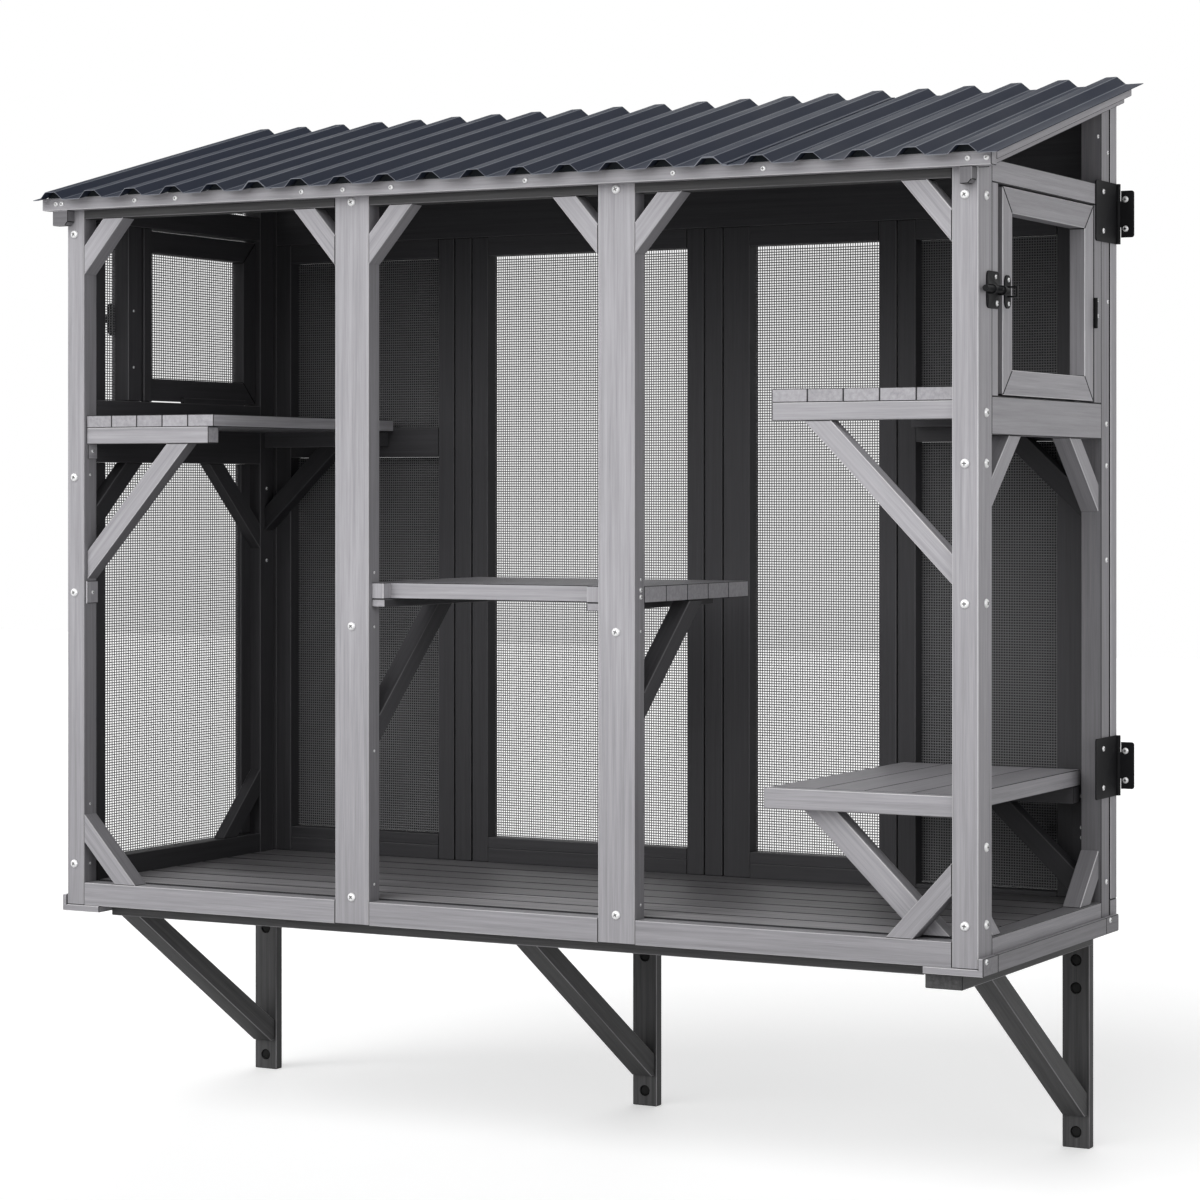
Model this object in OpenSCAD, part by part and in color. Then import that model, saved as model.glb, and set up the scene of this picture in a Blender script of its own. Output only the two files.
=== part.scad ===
// Window box catio: a mesh-walled timber box with a lean-to roof that hangs on a wall
// on three brackets, with two side doors, four shelves and four wall hinges.
// X runs to the right, Y runs back to the wall at Y = 0, and Z is up. The origin lies on
// the wall, midway between the two lag holes of the middle bracket's leg.

/* [Overall] */
// Width of the box across its front posts
box_w = 1524; // [1480:4:1600]
// Depth of the box from its front face to the wall
box_d = 560; // [550:2:600]
// Height of the fascia's lower edge above the foot of the front posts
fascia_z = 1085; // [1080:5:1160]
// Rise of the roof for each unit of depth
roof_slope = 0.26; // [0.22:0.01:0.3]
// Gap left where two boards of one group meet
joint_gap = 0.3; // [0.2:0.1:0.5]

/* [Front frame] */
// Width of the left corner post
left_post_w = 31.5; // [28:0.5:36]
// Depth of the left corner post
left_post_d = 33; // [31:1:36]
// Width of the right corner post
right_post_w = 38; // [34:1:44]
// Depth of the right corner post
right_post_d = 51; // [45:1:60]
// Width of each middle post
mid_post_w = 59; // [50:1:66]
// Thickness of the middle posts and front rails
front_t = 31; // [28:1:34]
// Clear width of the left bay
left_bay_w = 464.5; // [440:0.5:480]
// Clear width of the middle bay
middle_bay_w = 387; // [370:1:400]
// Height of the front bottom rail
bottom_rail_h = 35; // [32:1:40]
// Height of the front top rail that shows below the fascia
top_rail_drop = 13.5; // [10:0.5:20]
// Width of the corner braces
brace_w = 29; // [24:1:34]
// Reach of the upper corner braces along the top rail
upper_brace_run = 75; // [65:1:90]
// Drop of the upper corner braces down the post
upper_brace_rise = 87; // [75:1:100]
// Reach of the lower corner braces along the bottom rail
lower_brace_run = 98; // [80:1:110]
// Height of the lower corner braces up the post
lower_brace_rise = 107; // [90:1:120]

/* [Roof] */
// Height of the fascia
fascia_h = 19; // [17:0.5:26]
// Thickness of the fascia
fascia_t = 20; // [16:1:24]
// Overhang of the fascia past the left corner post
eave_left = 34; // [30:1:40]
// Overhang of the fascia past the right corner post
eave_right = 27; // [24:1:34]
// Thickness of the barge boards
barge_t = 11; // [9:1:13]
// Height of the barge boards
barge_h = 16; // [12:1:20]
// Height of the packing inside the barge boards
packing_h = 26; // [20:1:28]
// Width of the rafters
rafter_w = 18; // [16:1:22]
// Height of the rafters
rafter_h = 19; // [17:1:22]
// Height of the blocks under the fascia at the corner posts
end_block_h = 24; // [18:1:28]
// Chamfer at the foot of those blocks
end_block_cut = 6; // [3:1:8]
// Overhang of the roof sheets in front of the front face
sheet_front = 40; // [34:1:50]
// Width of sheet past the left end of the fascia
sheet_past_left = 2; // [0:0.5:8]
// Width of sheet past the right end of the fascia
sheet_past_right = 16; // [10:1:20]
// Gap between the roof sheets and the wall
sheet_wall_gap = 4; // [3:1:10]
// Pitch of the roof ribs
rib_pitch = 76; // [70:1:80]
// Height of the roof ribs
rib_h = 12; // [9:1:15]
// Width of a rib's flat crest
rib_top_w = 18; // [14:1:22]
// Width of a rib at its foot
rib_foot_w = 44; // [38:1:50]
// Centre of the first rib from the left side
first_rib_x = -2; // [-6:1:4]
// Thickness of the roof sheets
sheet_t = 1; // [0.8:0.1:1.4]
// Ribs of each outer roof sheet
outer_ribs = 6; // [4:1:7]
// Flat sheet past the last rib of a lap
lap_flat = 6; // [3:1:8]
// Gap between two lapped sheets
lap_gap = 0.2; // [0.1:0.1:0.4]
// Gap between the barge boards and the wall
barge_wall_gap = 10; // [6:1:16]

/* [Side panels] */
// Thickness of the side panels
panel_t = 32; // [30:1:36]
// Thickness of the jamb beside the right corner post
right_jamb_t = 24; // [20:1:24]
// Width of the jamb beside the right corner post
right_jamb_w = 23; // [16:1:24]
// Thickness of the thin stiles of the left panel
left_jamb_t = 12; // [10:1:14]
// Width of the thin stile beside the left corner post
left_jamb_w = 49; // [44:1:56]
// Width of the thin stile beside the left back post
left_thin_stile_w = 28; // [22:1:34]
// Width of the upright in front of the left door
mullion_w = 36; // [30:1:38]
// Width of the right back post
right_back_post_w = 34; // [30:1:40]
// Width of the left back post
left_back_post_w = 39.8; // [36:0.2:44]
// Slot between the right back post and the back frame
back_slot = 8; // [5:1:10]
// Height of the right panel's bottom rail
right_panel_rail_h = 37.5; // [34:0.5:42]
// Height of the left panel's bottom rail
left_panel_rail_h = 68; // [60:1:74]
// Underside of the right mid rail
right_mid_z = 724; // [700:1:740]
// Height of the right mid rail
right_mid_h = 52; // [46:1:58]
// Underside of the left mid rail
left_mid_z = 692; // [670:1:700]
// Height of the left mid rail
left_mid_h = 98; // [90:1:104]
// Underside of the panels' upper rails
upper_rail_z = 1069; // [1060:1:1072]
// Height of the right side's upper rail
upper_rail_h = 31; // [26:1:36]
// Height of the left side's upper rail
left_upper_rail_h = 40; // [34:1:44]
// Reach of the braces under the mid rails
panel_brace_run = 122; // [100:1:130]
// Drop of the braces under the mid rails
panel_brace_rise = 108; // [90:1:120]
// Width of the braces in the side panels
panel_brace_w = 30; // [26:1:34]
// Reach of the left panel's rear brace under the mid rail
left_brace_run = 150; // [130:1:160]
// Drop of the left panel's rear brace
left_brace_rise = 142; // [130:1:155]
// Reach of the right panel's rear foot brace
foot_brace_run = 80; // [65:1:90]
// Height of the right panel's rear foot brace
foot_brace_rise = 77; // [65:1:90]
// Reach of the left panel's rear foot brace
left_foot_brace_run = 110; // [90:1:120]
// Height of the left panel's rear foot brace
left_foot_brace_rise = 108; // [90:1:120]
// Reach of the small front foot braces
small_brace_run = 44; // [38:1:54]
// Height of the small front foot braces
small_brace_rise = 36; // [32:1:46]
// Width of the small front foot braces
small_brace_w = 18; // [14:1:20]
// Set back of the right panel's braces from its outer face
brace_set_back = 4; // [2:0.5:6]

/* [Doors] */
// Distance of the right door behind the front face
right_door_y = 92; // [88:1:100]
// Width of the right door
right_door_w = 365; // [350:1:370]
// Distance of the left door behind the front face
left_door_y = 155; // [150:1:160]
// Gap round the doors
door_gap = 3; // [2.5:0.5:4]
// Thickness of the doors
door_t = 24; // [20:1:27]
// Width of the door stiles
door_stile_w = 36; // [32:1:40]
// Height of the door rails
door_rail_h = 35; // [30:1:40]
// Width of the stop that the door closes against
stop_w = 22; // [18:1:26]
// Height of the door hinges
door_hinge_h = 45; // [38:1:60]
// Drop of the door hinge below the middle of the door
door_hinge_drop = 14; // [6:1:20]
// Thickness of the door hinge leaves
door_leaf_t = 1; // [0.8:0.1:1.2]
// Outer radius of the door hinge knuckles
door_knuckle_r = 3; // [2.6:0.1:3.4]
// Radius of the door hinge pins
door_pin_r = 1.5; // [1.2:0.1:1.7]

/* [Latches] */
// Height of the latch centre line above the foot of the posts
latch_z = 921; // [900:1:940]
// Height of the latch plate
latch_plate_h = 51; // [44:1:56]
// Width of the latch plate
latch_plate_w = 46; // [40:1:50]
// Thickness of the latch plates
latch_plate_t = 2; // [1.5:0.5:3]
// Radius of the bolt
bolt_r = 4.5; // [4:0.5:5]
// Travel of the bolt
bolt_travel = 24; // [20:1:24]
// Length of each guide along the bolt
guide_l = 7; // [6:0.5:8]
// Wall of the guides round the bolt
guide_wall = 2; // [1.5:0.5:2.5]
// Height of the keeper plate
keeper_h = 46; // [42:1:50]
// Width of the keeper plate
keeper_w = 22; // [20:1:26]
// Distance of the keeper behind the door's front edge
keeper_inset = 3; // [2:0.5:6]
// Play of the bolt in the keeper
keeper_play = 1.2; // [0.8:0.1:2]
// Distance of the drawn bolt's tip in front of the door
bolt_back = 4; // [2:0.5:6]
// Radius of the bolt's handle, which slides between the two guides
handle_r = 2.5; // [2:0.1:2.5]
// Length of the handle beyond the bolt's surface
handle_l = 8; // [6:1:10]
// Distance of the guides from the ends of the latch plate
plate_rim = 1; // [0.8:0.1:1]
// Corner radius of the latch plates
plate_corner_r = 8; // [4:1:10]

/* [Base] */
// Thickness of the side base boards and the plates' flanges
base_t = 8; // [6:1:10]
// Gap between the side base boards and the wall
base_end_gap = 14; // [8:1:18]
// Thickness of the corner plates under the posts
plate_t = 9.5; // [8:0.5:11]
// Height of the side base boards above the foot of the posts
base_rise = 15; // [12:1:18]
// Length of the corner plates along the sides
corner_plate_d = 53; // [50:1:60]
// Length of the right corner plate along the front
right_plate_w = 89; // [80:1:95]
// Length of the left corner plate along the front
left_plate_w = 70; // [60:1:78]
// Thickness of the floor boards
floor_t = 20; // [16:1:22]
// Number of floor boards
floor_boards_n = 7; // [5:1:9]
// Thickness of the cleats on the left post
cleat_t = 2.8; // [2:0.2:3]
// Height of the lower cleat
cleat_h = 35; // [30:1:38]
// Underside of the upper cleat
cleat_z = 697; // [694:1:697]
// Underside of the lower cleat
low_cleat_z = 471; // [460:1:480]
// Width of the floor bearers
bearer_w = 30; // [26:1:36]
// Gap between the front bearer and the right bracket's arm
bearer_end_gap = 7; // [4:1:12]
// Depth of the front floor bearer below the foot of the posts
bearer_drop = 17; // [14:1:20]

/* [Wall brackets] */
// Centre of the middle bracket from the left side
bracket_mid_x = 737; // [730:1:780]
// Spacing of the brackets
bracket_pitch = 729; // [700:1:735]
// Width of the legs
leg_w = 43; // [40:1:50]
// Thickness of the legs
leg_t = 18; // [16:1:24]
// Depth of the legs below the foot of the posts
leg_drop = 340; // [330:5:380]
// Depth of the upper lag hole below the foot of the posts
lag_top_drop = 58; // [54:1:66]
// Spacing of the upper and lower lag holes
lag_span = 258; // [250:1:265]
// Distance of the spare lag hole below the upper one
spare_lag_drop = 42; // [36:1:50]
// Diameter of the lag holes
lag_d = 9; // [7:0.5:11]
// Diameter of the recesses for the lag heads
lag_head_d = 18; // [16:1:22]
// Depth of the recesses for the lag heads
lag_head_depth = 6; // [4:1:8]
// Width of the bracket arms
arm_w = 55; // [50:1:60]
// Height of the bracket arms
arm_h = 23; // [20:1:26]
// Distance of the left and middle arms behind the front face
arm_front = 150; // [140:5:170]
// Distance of the right arm behind the front face
right_arm_front = 20; // [14:1:26]
// Width of the bracket braces
bracket_brace_w = 36; // [32:1:42]
// Depth of the bracket braces' lower ends below the foot of the posts
bracket_brace_drop = 290; // [280:1:295]
// Height of the bracket braces where they meet the legs
bracket_brace_foot = 34; // [30:1:40]
// Slope of the bracket braces, drop for each unit of run
bracket_brace_slope = 0.655; // [0.62:0.005:0.7]

/* [Back frame] */
// Thickness of the back frame
back_t = 30; // [28:1:34]
// Width of the corner stiles of the back frame
back_corner_w = 38; // [36:1:42]
// Width of the two posts between the back panels
back_post_w = 30; // [26:1:34]
// Width of the first back panel from the left
back_panel_1_w = 350; // [340:1:360]
// Width of the second back panel
back_panel_2_w = 424; // [410:1:430]
// Width of the third back panel
back_panel_3_w = 295; // [285:1:310]
// Gap between the back panels and the posts
back_panel_gap = 3; // [2:0.5:4]
// Width of the back panels' narrow stiles
back_stile_w = 29; // [26:1:36]
// Width of the third panel's left stile and the fourth panel's right stile
back_wide_stile_w = 45; // [40:1:50]
// Top of the back panels' openings
back_open_top = 1033; // [1020:1:1040]
// Underside of the back panels' openings
back_open_bottom = 78; // [70:1:84]
// Height of the low rail under the right end panel
back_low_rail_h = 7; // [5:1:10]
// Top of the strip below the back panels' bottom rails
back_strip_z = 60; // [54:1:64]
// Height of the back panels' top rails
back_top_rail_h = 31; // [28:1:36]
// Underside of the first panel's mid rail
back_mid_1_z = 703; // [690:1:712]
// Underside of the fourth panel's mid rail
back_mid_4_z = 722; // [712:1:735]
// Height of the back panels' mid rails
back_mid_h = 48; // [42:1:54]
// Thickness of the dark boards behind the end panels
back_board_t = 3; // [2:0.5:4]

/* [Shelves] */
// Distance of the side shelves behind the front face
shelf_front = 6; // [4:1:8]
// Depth of the front rails under the side shelves
shelf_rail_d = 28; // [24:1:32]
// Height of the front rails under the side shelves
shelf_rail_h = 25; // [22:1:28]
// Thickness of the shelf boards
shelf_t = 19; // [16:1:21]
// Number of boards in the upper and middle shelves
shelf_boards_n = 5; // [4:1:6]
// Number of boards in the lower shelf
low_boards_n = 4; // [3:1:5]
// Width of the braces under the shelves
shelf_brace_w = 29; // [24:0.5:32]
// Width of the upper left shelf
left_shelf_w = 240; // [220:1:250]
// Top of the upper left shelf
left_shelf_z = 764.5; // [755:0.5:775]
// Width of the upper right shelf
right_shelf_w = 272; // [260:1:285]
// Top of the upper right shelf
right_shelf_z = 789; // [784:1:800]
// Width of the lower right shelf
low_shelf_w = 285; // [270:1:300]
// Top of the lower right shelf
low_shelf_z = 232; // [225:1:240]
// Depth of the lower right shelf
low_shelf_d = 500; // [470:1:510]
// Thickness of the lower shelf's boards
low_shelf_t = 24; // [20:1:26]
// Depth of the lower shelf's front rail
low_rail_d = 25; // [20:1:28]
// Height of the lower shelf's front rail
low_rail_h = 28.5; // [26:0.5:32]
// Reach of the upper left shelf's front brace
left_brace_reach = 191; // [175:1:205]
// Drop of the upper left shelf's front brace
left_brace_fall = 211; // [195:1:225]
// Reach of the upper right shelf's front brace
right_brace_reach = 224; // [210:1:240]
// Drop of the upper right shelf's front brace
right_brace_fall = 228; // [210:1:240]
// Reach of the rear braces under the side shelves
rear_brace_reach = 150; // [130:1:160]
// Drop of the rear braces under the side shelves
rear_brace_fall = 141; // [125:1:145]
// Distance of the lower shelf's brace from the corner post, at its top
low_brace_reach = 241; // [225:1:250]
// Distance of the lower shelf's brace from the corner post, at the floor
low_brace_toe = 65; // [55:1:75]
// Width of the lower shelf's brace
low_brace_w = 35; // [30:1:38]
// Top of the middle shelf
mid_shelf_z = 510; // [495:1:520]
// Thickness of the middle shelf
mid_shelf_t = 24; // [20:1:26]
// Depth of the middle shelf
mid_shelf_d = 344; // [330:1:350]
// Thickness of the middle shelf's braces
mid_brace_t = 28; // [24:1:32]
// Reach of the middle shelf's left brace
mid_left_brace_run = 227; // [210:1:240]
// Drop of the middle shelf's left brace
mid_left_brace_rise = 214; // [200:1:225]
// Reach of the middle shelf's right brace
mid_right_brace_run = 190; // [175:1:205]
// Drop of the middle shelf's right brace
mid_right_brace_rise = 166; // [150:1:180]
// Width of the battens under the middle shelf
mid_batten_w = 23; // [18:1:26]
// Height of the battens under the middle shelf
mid_batten_h = 12; // [10:1:16]
// Distance of the middle shelf's end blocks behind the front face
mid_block_y = 9; // [6:1:12]

/* [Mesh] */
// Thickness of the mesh
mesh_t = 1.5; // [1.2:0.1:2]
// Spacing of the mesh wires in this stand-in
mesh_pitch = 48; // [40:1:56]
// Width of the mesh wires in this stand-in
mesh_wire = 2.4; // [2:0.1:3]
// Least height of the gable mesh at its front tip
gable_strip_min = 12; // [8:1:20]
// Depth of the mesh behind the outer face of a panel
mesh_inset = 4; // [3:0.5:6]

/* [Wall hinges] */
// Thickness of the wall hinge leaves
leaf_t = 2; // [1.6:0.1:2.4]
// Height of the side leaves
side_leaf_h = 90; // [84:1:96]
// Length of the side leaves
side_leaf_l = 92; // [84:1:96]
// Height of the wall leaves
wall_leaf_h = 70; // [64:1:76]
// Reach of the wall leaves from the hinge pin
wall_leaf_w = 24; // [22:1:28]
// Outer radius of the wall hinge knuckles
knuckle_r = 3.5; // [3.2:0.1:3.9]
// Radius of the wall hinge pins
pin_r = 2; // [1.6:0.1:2.2]
// Height of the middle of the upper wall hinges
upper_hinge_z = 1061; // [1050:1:1066]
// Height of the middle of the lower wall hinges
lower_hinge_z = 236; // [226:1:260]
// Screw spacing in the wall leaves
leaf_screw_span = 44; // [38:1:48]
// Screw hole radius in the wall leaves
leaf_screw_r = 2.4; // [2:0.1:2.8]
// Height of the wall leaves' knuckles
wall_knuckle_h = 40; // [32:1:48]
// Corner radius of the wall leaves
leaf_corner_r = 4; // [2:0.5:6]
// Running clearance round the pins and bolts
run_gap = 0.08; // [0.05:0.01:0.1]

/* [Screws] */
// Radius of the large screw heads
screw_r = 6.5; // [5:0.5:7]
// Radius of the small screw heads
small_screw_r = 4; // [3:0.5:4.5]
// Height of the screw heads
screw_h = 1.6; // [1.2:0.1:2]

/* [Hidden] */

wood_colour = "#9b999d";
dark_wood_colour = "#5c5b60";
roof_colour = "#2c313c";
metal_colour = "#18181a";
mesh_colour = "#222226";
screw_colour = "#e4e4e6";

$fn = 48;
// Seat between two touching nodes, and cut length past a face
seat = 0.2;
past = 1;

// Front view: edges of the posts, from left to right
mid_left_x = left_post_w + left_bay_w;
mid_right_x = mid_left_x + mid_post_w + middle_bay_w;
right_post_x = box_w - right_post_w;
bays = [
    [left_post_w, mid_left_x],
    [mid_left_x + mid_post_w, mid_right_x],
    [mid_right_x + mid_post_w, right_post_x]
];

// Heights of the roof: the sheets rest on the fascia's front edge
roof_front_z = fascia_z + fascia_h + seat;
function roof_z(y) = roof_front_z + roof_slope * (y + fascia_t);
function under_rafter(y) = roof_z(y) - rafter_h - 2 * seat;

// Side panels, measured along the depth
back_y = box_d - back_t;
right_back_post_y = back_y - back_slot / 2 - right_back_post_w;
left_back_post_y = back_y - seat - left_back_post_w;
panel_inner_x = box_w - panel_t;
right_door_end = right_door_y + right_door_w;
left_door_end = left_back_post_y - door_gap;
mesh_x = box_w - mesh_inset - mesh_t;

// Axis of the bolts, outside the latch plates
bolt_x = box_w + seat + latch_plate_t + guide_wall + bolt_r;

// Door hinge
door_pin_x = box_w + door_knuckle_r + joint_gap;
brace_screw_z = fascia_z - 37;
fascia_screws = [
    for (share = [0.094, 0.144, 0.295, 0.343, 0.398, 0.547, 0.704, 0.796]) share * box_w,
    -7, 4, box_w - 7, box_w + 20
];

// Wall hinge pins stand just outside the box
wall_pin_x = box_w + seat + knuckle_r;
wall_pin_y = box_d - seat - knuckle_r;
leaf_screw_x = wall_pin_x + wall_leaf_w * 0.4;

// Floor
floor_top = bottom_rail_h + 2;
floor_z = floor_top - floor_t;
arm_top = -plate_t - 2 * seat;
arm_bottom = arm_top - arm_h;
leg_front_y = box_d - leg_t;

// Back frame: each panel holds its two edges in X and the widths of its two stiles
back_panel_2_x = back_corner_w + back_panel_1_w + 2 * back_panel_gap + back_post_w;
back_panel_3_x = back_panel_2_x + back_panel_2_w + 2 * back_panel_gap + back_post_w;
back_panel_4_x = back_panel_3_x + back_panel_3_w + back_panel_gap;
back_panels = [
    [back_corner_w, back_corner_w + back_panel_1_w, back_stile_w, back_stile_w,
     back_open_bottom],
    [back_panel_2_x, back_panel_2_x + back_panel_2_w, back_stile_w, back_stile_w,
     back_open_bottom],
    [back_panel_3_x, back_panel_3_x + back_panel_3_w, back_wide_stile_w, back_stile_w,
     back_open_bottom],
    [back_panel_4_x, box_w - back_corner_w, back_stile_w, back_wide_stile_w,
     floor_top + back_low_rail_h]
];
back_posts_x = [back_panels[0][1] + back_panel_gap, back_panels[1][1] + back_panel_gap];
back_frame_z = floor_top + seat;
back_header_z = back_open_top + back_top_rail_h;
back_header_top = roof_z(back_y) - seat;

// The origin is midway between the two lag holes of the middle leg, on the wall
module in_box()
    translate([-bracket_mid_x, -box_d, lag_top_drop + lag_span / 2])
        children();

// The left side is the right side mirrored across the box
module on_left()
    translate([box_w, 0, 0])
        mirror([1, 0, 0])
            children();

// A board between two X, two Y and two Z values
module board(x, y, z)
    translate([x[0], y[0], z[0]])
        cube([x[1] - x[0], y[1] - y[0], z[1] - z[0]]);

// An outline in Y and Z, drawn out along X from x[0] to x[1]
module along_x(x)
    translate([x[0], 0, 0])
        rotate([90, 0, 90])
            linear_extrude(x[1] - x[0])
                children();

// An outline in X and Z, drawn out along Y from y[0] to y[1]
module along_y(y)
    translate([0, y[1], 0])
        rotate([90, 0, 0])
            linear_extrude(y[1] - y[0])
                children();

// A diagonal strip of width w that spans the corner at the origin, from run on the first
// axis to rise on the second, with both ends cut flat on what it braces. dir holds the
// signs of the two axes away from the corner.
module brace_outline(dir, run, rise, w) {
    angle = atan2(rise, run);
    in_run = run - w / sin(angle);
    in_rise = rise - w / cos(angle);
    polygon([[dir[0] * run, 0], [0, dir[1] * rise], [0, dir[1] * in_rise], [dir[0] * in_run, 0]]);
}

// A corner brace in the front view; dir_x and dir_z point away from the corner
module front_brace(x, z, dir_x, dir_z, run, rise, w, y)
    along_y(y)
        translate([x, z])
            brace_outline([dir_x, dir_z], run, rise, w);

// A corner brace in the side view; dir_y and dir_z point away from the corner
module side_brace(y, z, dir_y, dir_z, run, rise, w, x)
    along_x(x)
        translate([y, z])
            brace_outline([dir_y, dir_z], run, rise, w);

// Outline of a mesh sheet between two corners, with a square hole in each cell
module mesh_outline(a, b) {
    size = b - a;
    nu = max(1, round((size[0] - mesh_wire) / mesh_pitch));
    nv = max(1, round((size[1] - mesh_wire) / mesh_pitch));
    du = (size[0] - mesh_wire) / nu;
    dv = (size[1] - mesh_wire) / nv;
    cells = [for (i = [0:nu - 1], j = [0:nv - 1]) a + [mesh_wire + i * du, mesh_wire + j * dv]];
    hole = [du - mesh_wire, dv - mesh_wire];
    corners = concat(
        [a, [b[0], a[1]], b, [a[0], b[1]]],
        [for (c = cells) each [c, c + [hole[0], 0], c + hole, c + [0, hole[1]]]]
    );
    polygon(corners, paths = [for (k = [0:nu * nv]) [for (m = [0:3]) 4 * k + m]]);
}

// A mesh sheet in a side panel, a seat inside its frame
module side_mesh(y, z)
    along_x([mesh_x, mesh_x + mesh_t])
        mesh_outline([y[0] + seat, z[0] + seat], [y[1] - seat, z[1] - seat]);

// Outline of n ribs from x0, in X and Z; each rib has a sloped flank on both sides
function rib_points(x0, n) = [
    for (i = [0:n - 1]) each [
        [x0 + i * rib_pitch - rib_foot_w / 2, 0],
        [x0 + i * rib_pitch - rib_top_w / 2, rib_h],
        [x0 + i * rib_pitch + rib_top_w / 2, rib_h],
        [x0 + i * rib_pitch + rib_foot_w / 2, 0]
    ]
];

// -------- front frame

module corner_post(x, d)
    along_x(x)
        polygon([[0, 0], [d, 0], [d, under_rafter(d)], [0, under_rafter(0)]]);

module front_post_left()
    color(wood_colour)
        in_box()
            corner_post([0, left_post_w], left_post_d);

module front_post_mid_left()
    color(wood_colour)
        in_box()
            corner_post([mid_left_x, mid_left_x + mid_post_w], front_t);

module front_post_mid_right()
    color(wood_colour)
        in_box()
            corner_post([mid_right_x, mid_right_x + mid_post_w], front_t);

module front_post_right()
    color(wood_colour)
        in_box()
            corner_post([right_post_x, box_w], right_post_d);

module front_bottom_rails()
    color(wood_colour)
        in_box()
            for (bay = bays)
                board([bay[0] + seat, bay[1] - seat], [0, front_t], [0, bottom_rail_h]);

module front_top_rails()
    color(wood_colour)
        in_box()
            for (bay = bays)
                board([bay[0] + seat, bay[1] - seat], [0, front_t],
                      [fascia_z - top_rail_drop, roof_front_z]);

module front_corner_braces()
    color(wood_colour)
        in_box() {
            for (bay = bays, end = [0, 1])
                front_brace(bay[end] + (end == 0 ? seat : -seat),
                            fascia_z - top_rail_drop - seat, end == 0 ? 1 : -1, -1,
                            upper_brace_run, upper_brace_rise, brace_w, [0, front_t]);
            front_brace(bays[0][0] + seat, bottom_rail_h + seat, 1, 1,
                        lower_brace_run, lower_brace_rise, brace_w, [0, front_t]);
            front_brace(bays[2][1] - seat, bottom_rail_h + seat, -1, 1,
                        lower_brace_run, lower_brace_rise, brace_w, [0, front_t]);
        }

// The fascia, with the two blocks under its ends
module fascia_board()
    color(wood_colour)
        in_box() {
            board([-eave_left, box_w + eave_right], [-fascia_t, -seat],
                  [fascia_z, fascia_z + fascia_h]);
            for (x = [[-left_post_w / 2, left_post_w / 2 - 2], [right_post_x + rafter_w, box_w - 2]])
                along_y([-fascia_t + 2, -seat])
                    polygon([
                        [x[0], fascia_z - joint_gap],
                        [x[1], fascia_z - joint_gap],
                        [x[1], fascia_z - end_block_h + end_block_cut],
                        [x[1] - end_block_cut, fascia_z - end_block_h],
                        [x[0], fascia_z - end_block_h]
                    ]);
        }

// -------- base

// A side base board between the corner plate and the wall, with its end block
module side_base_board() {
    x = [box_w + seat, box_w + seat + base_t];
    z = [arm_top + seat, base_rise];
    end_y = right_back_post_y;
    board(x, [corner_plate_d + joint_gap, end_y - joint_gap], z);
    board(x, [end_y, box_d - base_end_gap], z);
}

module base_side_boards()
    color(wood_colour)
        in_box() {
            side_base_board();
            on_left()
                side_base_board();
        }

// A corner plate: a flat plate under the post, and a flange up its side
module corner_plate(w)
    along_y([-2, corner_plate_d])
        polygon([
            [box_w + seat + base_t - w, -seat],
            [box_w + seat, -seat],
            [box_w + seat, base_rise],
            [box_w + seat + base_t, base_rise],
            [box_w + seat + base_t, -seat - plate_t],
            [box_w + seat + base_t - w, -seat - plate_t]
        ]);

module base_corner_plates()
    color(wood_colour)
        in_box() {
            corner_plate(right_plate_w);
            on_left()
                corner_plate(left_plate_w);
        }

// Bearers under the floor: one behind the front rail, and two that rest on the arms
// through a flat batten each
module floor_bearers()
    color(dark_wood_colour)
        in_box() {
            front_y = front_t + seat;
            left_end = left_plate_w - base_t;
            right_end = bracket_mid_x + bracket_pitch - arm_w / 2 - bearer_end_gap;
            board([left_end, right_end], [front_y, front_y + bearer_w],
                  [-bearer_drop, floor_z - seat]);
            for (y = [box_d / 2, back_y - bearer_w - seat]) {
                board([panel_t + seat, panel_inner_x - seat], [y, y + bearer_w],
                      [0, floor_z - seat]);
                board([0, box_w], [y, y + bearer_w], [arm_top + seat, -seat]);
            }
        }

module floor_boards()
    color(wood_colour)
        in_box() {
            y0 = front_t + seat;
            w = (back_y - seat - y0) / floor_boards_n;
            difference() {
                for (i = [0:floor_boards_n - 1])
                    board([panel_t + seat, panel_inner_x - seat],
                          [y0 + i * w + joint_gap / 2, y0 + (i + 1) * w - joint_gap / 2],
                          [floor_z, floor_top]);
                board([right_post_x - seat, box_w], [0, right_post_d + seat],
                      [floor_z - past, floor_top + past]);
            }
        }

// -------- wall brackets

module at_brackets()
    for (i = [-1, 0, 1])
        translate([bracket_mid_x + i * bracket_pitch, 0, 0])
            children();

lag_drops = [lag_top_drop, lag_top_drop + spare_lag_drop, lag_top_drop + lag_span];

module bracket_legs()
    color(wood_colour)
        in_box()
            at_brackets()
                difference() {
                    board([-leg_w / 2, leg_w / 2], [leg_front_y, box_d], [-leg_drop, arm_top]);
                    for (drop = lag_drops)
                        translate([0, leg_front_y - past, -drop])
                            rotate([-90, 0, 0]) {
                                cylinder(h = leg_t + 2 * past, d = lag_d);
                                cylinder(h = lag_head_depth + past, d = lag_head_d);
                            }
                }

// The right arm reaches further forward than the other two
module bracket_arms()
    color(dark_wood_colour)
        in_box()
            for (i = [-1, 0, 1])
                translate([bracket_mid_x + i * bracket_pitch, 0, 0])
                    board([-arm_w / 2, arm_w / 2],
                          [i == 1 ? right_arm_front : arm_front, leg_front_y - seat],
                          [arm_bottom, arm_top]);

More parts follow.
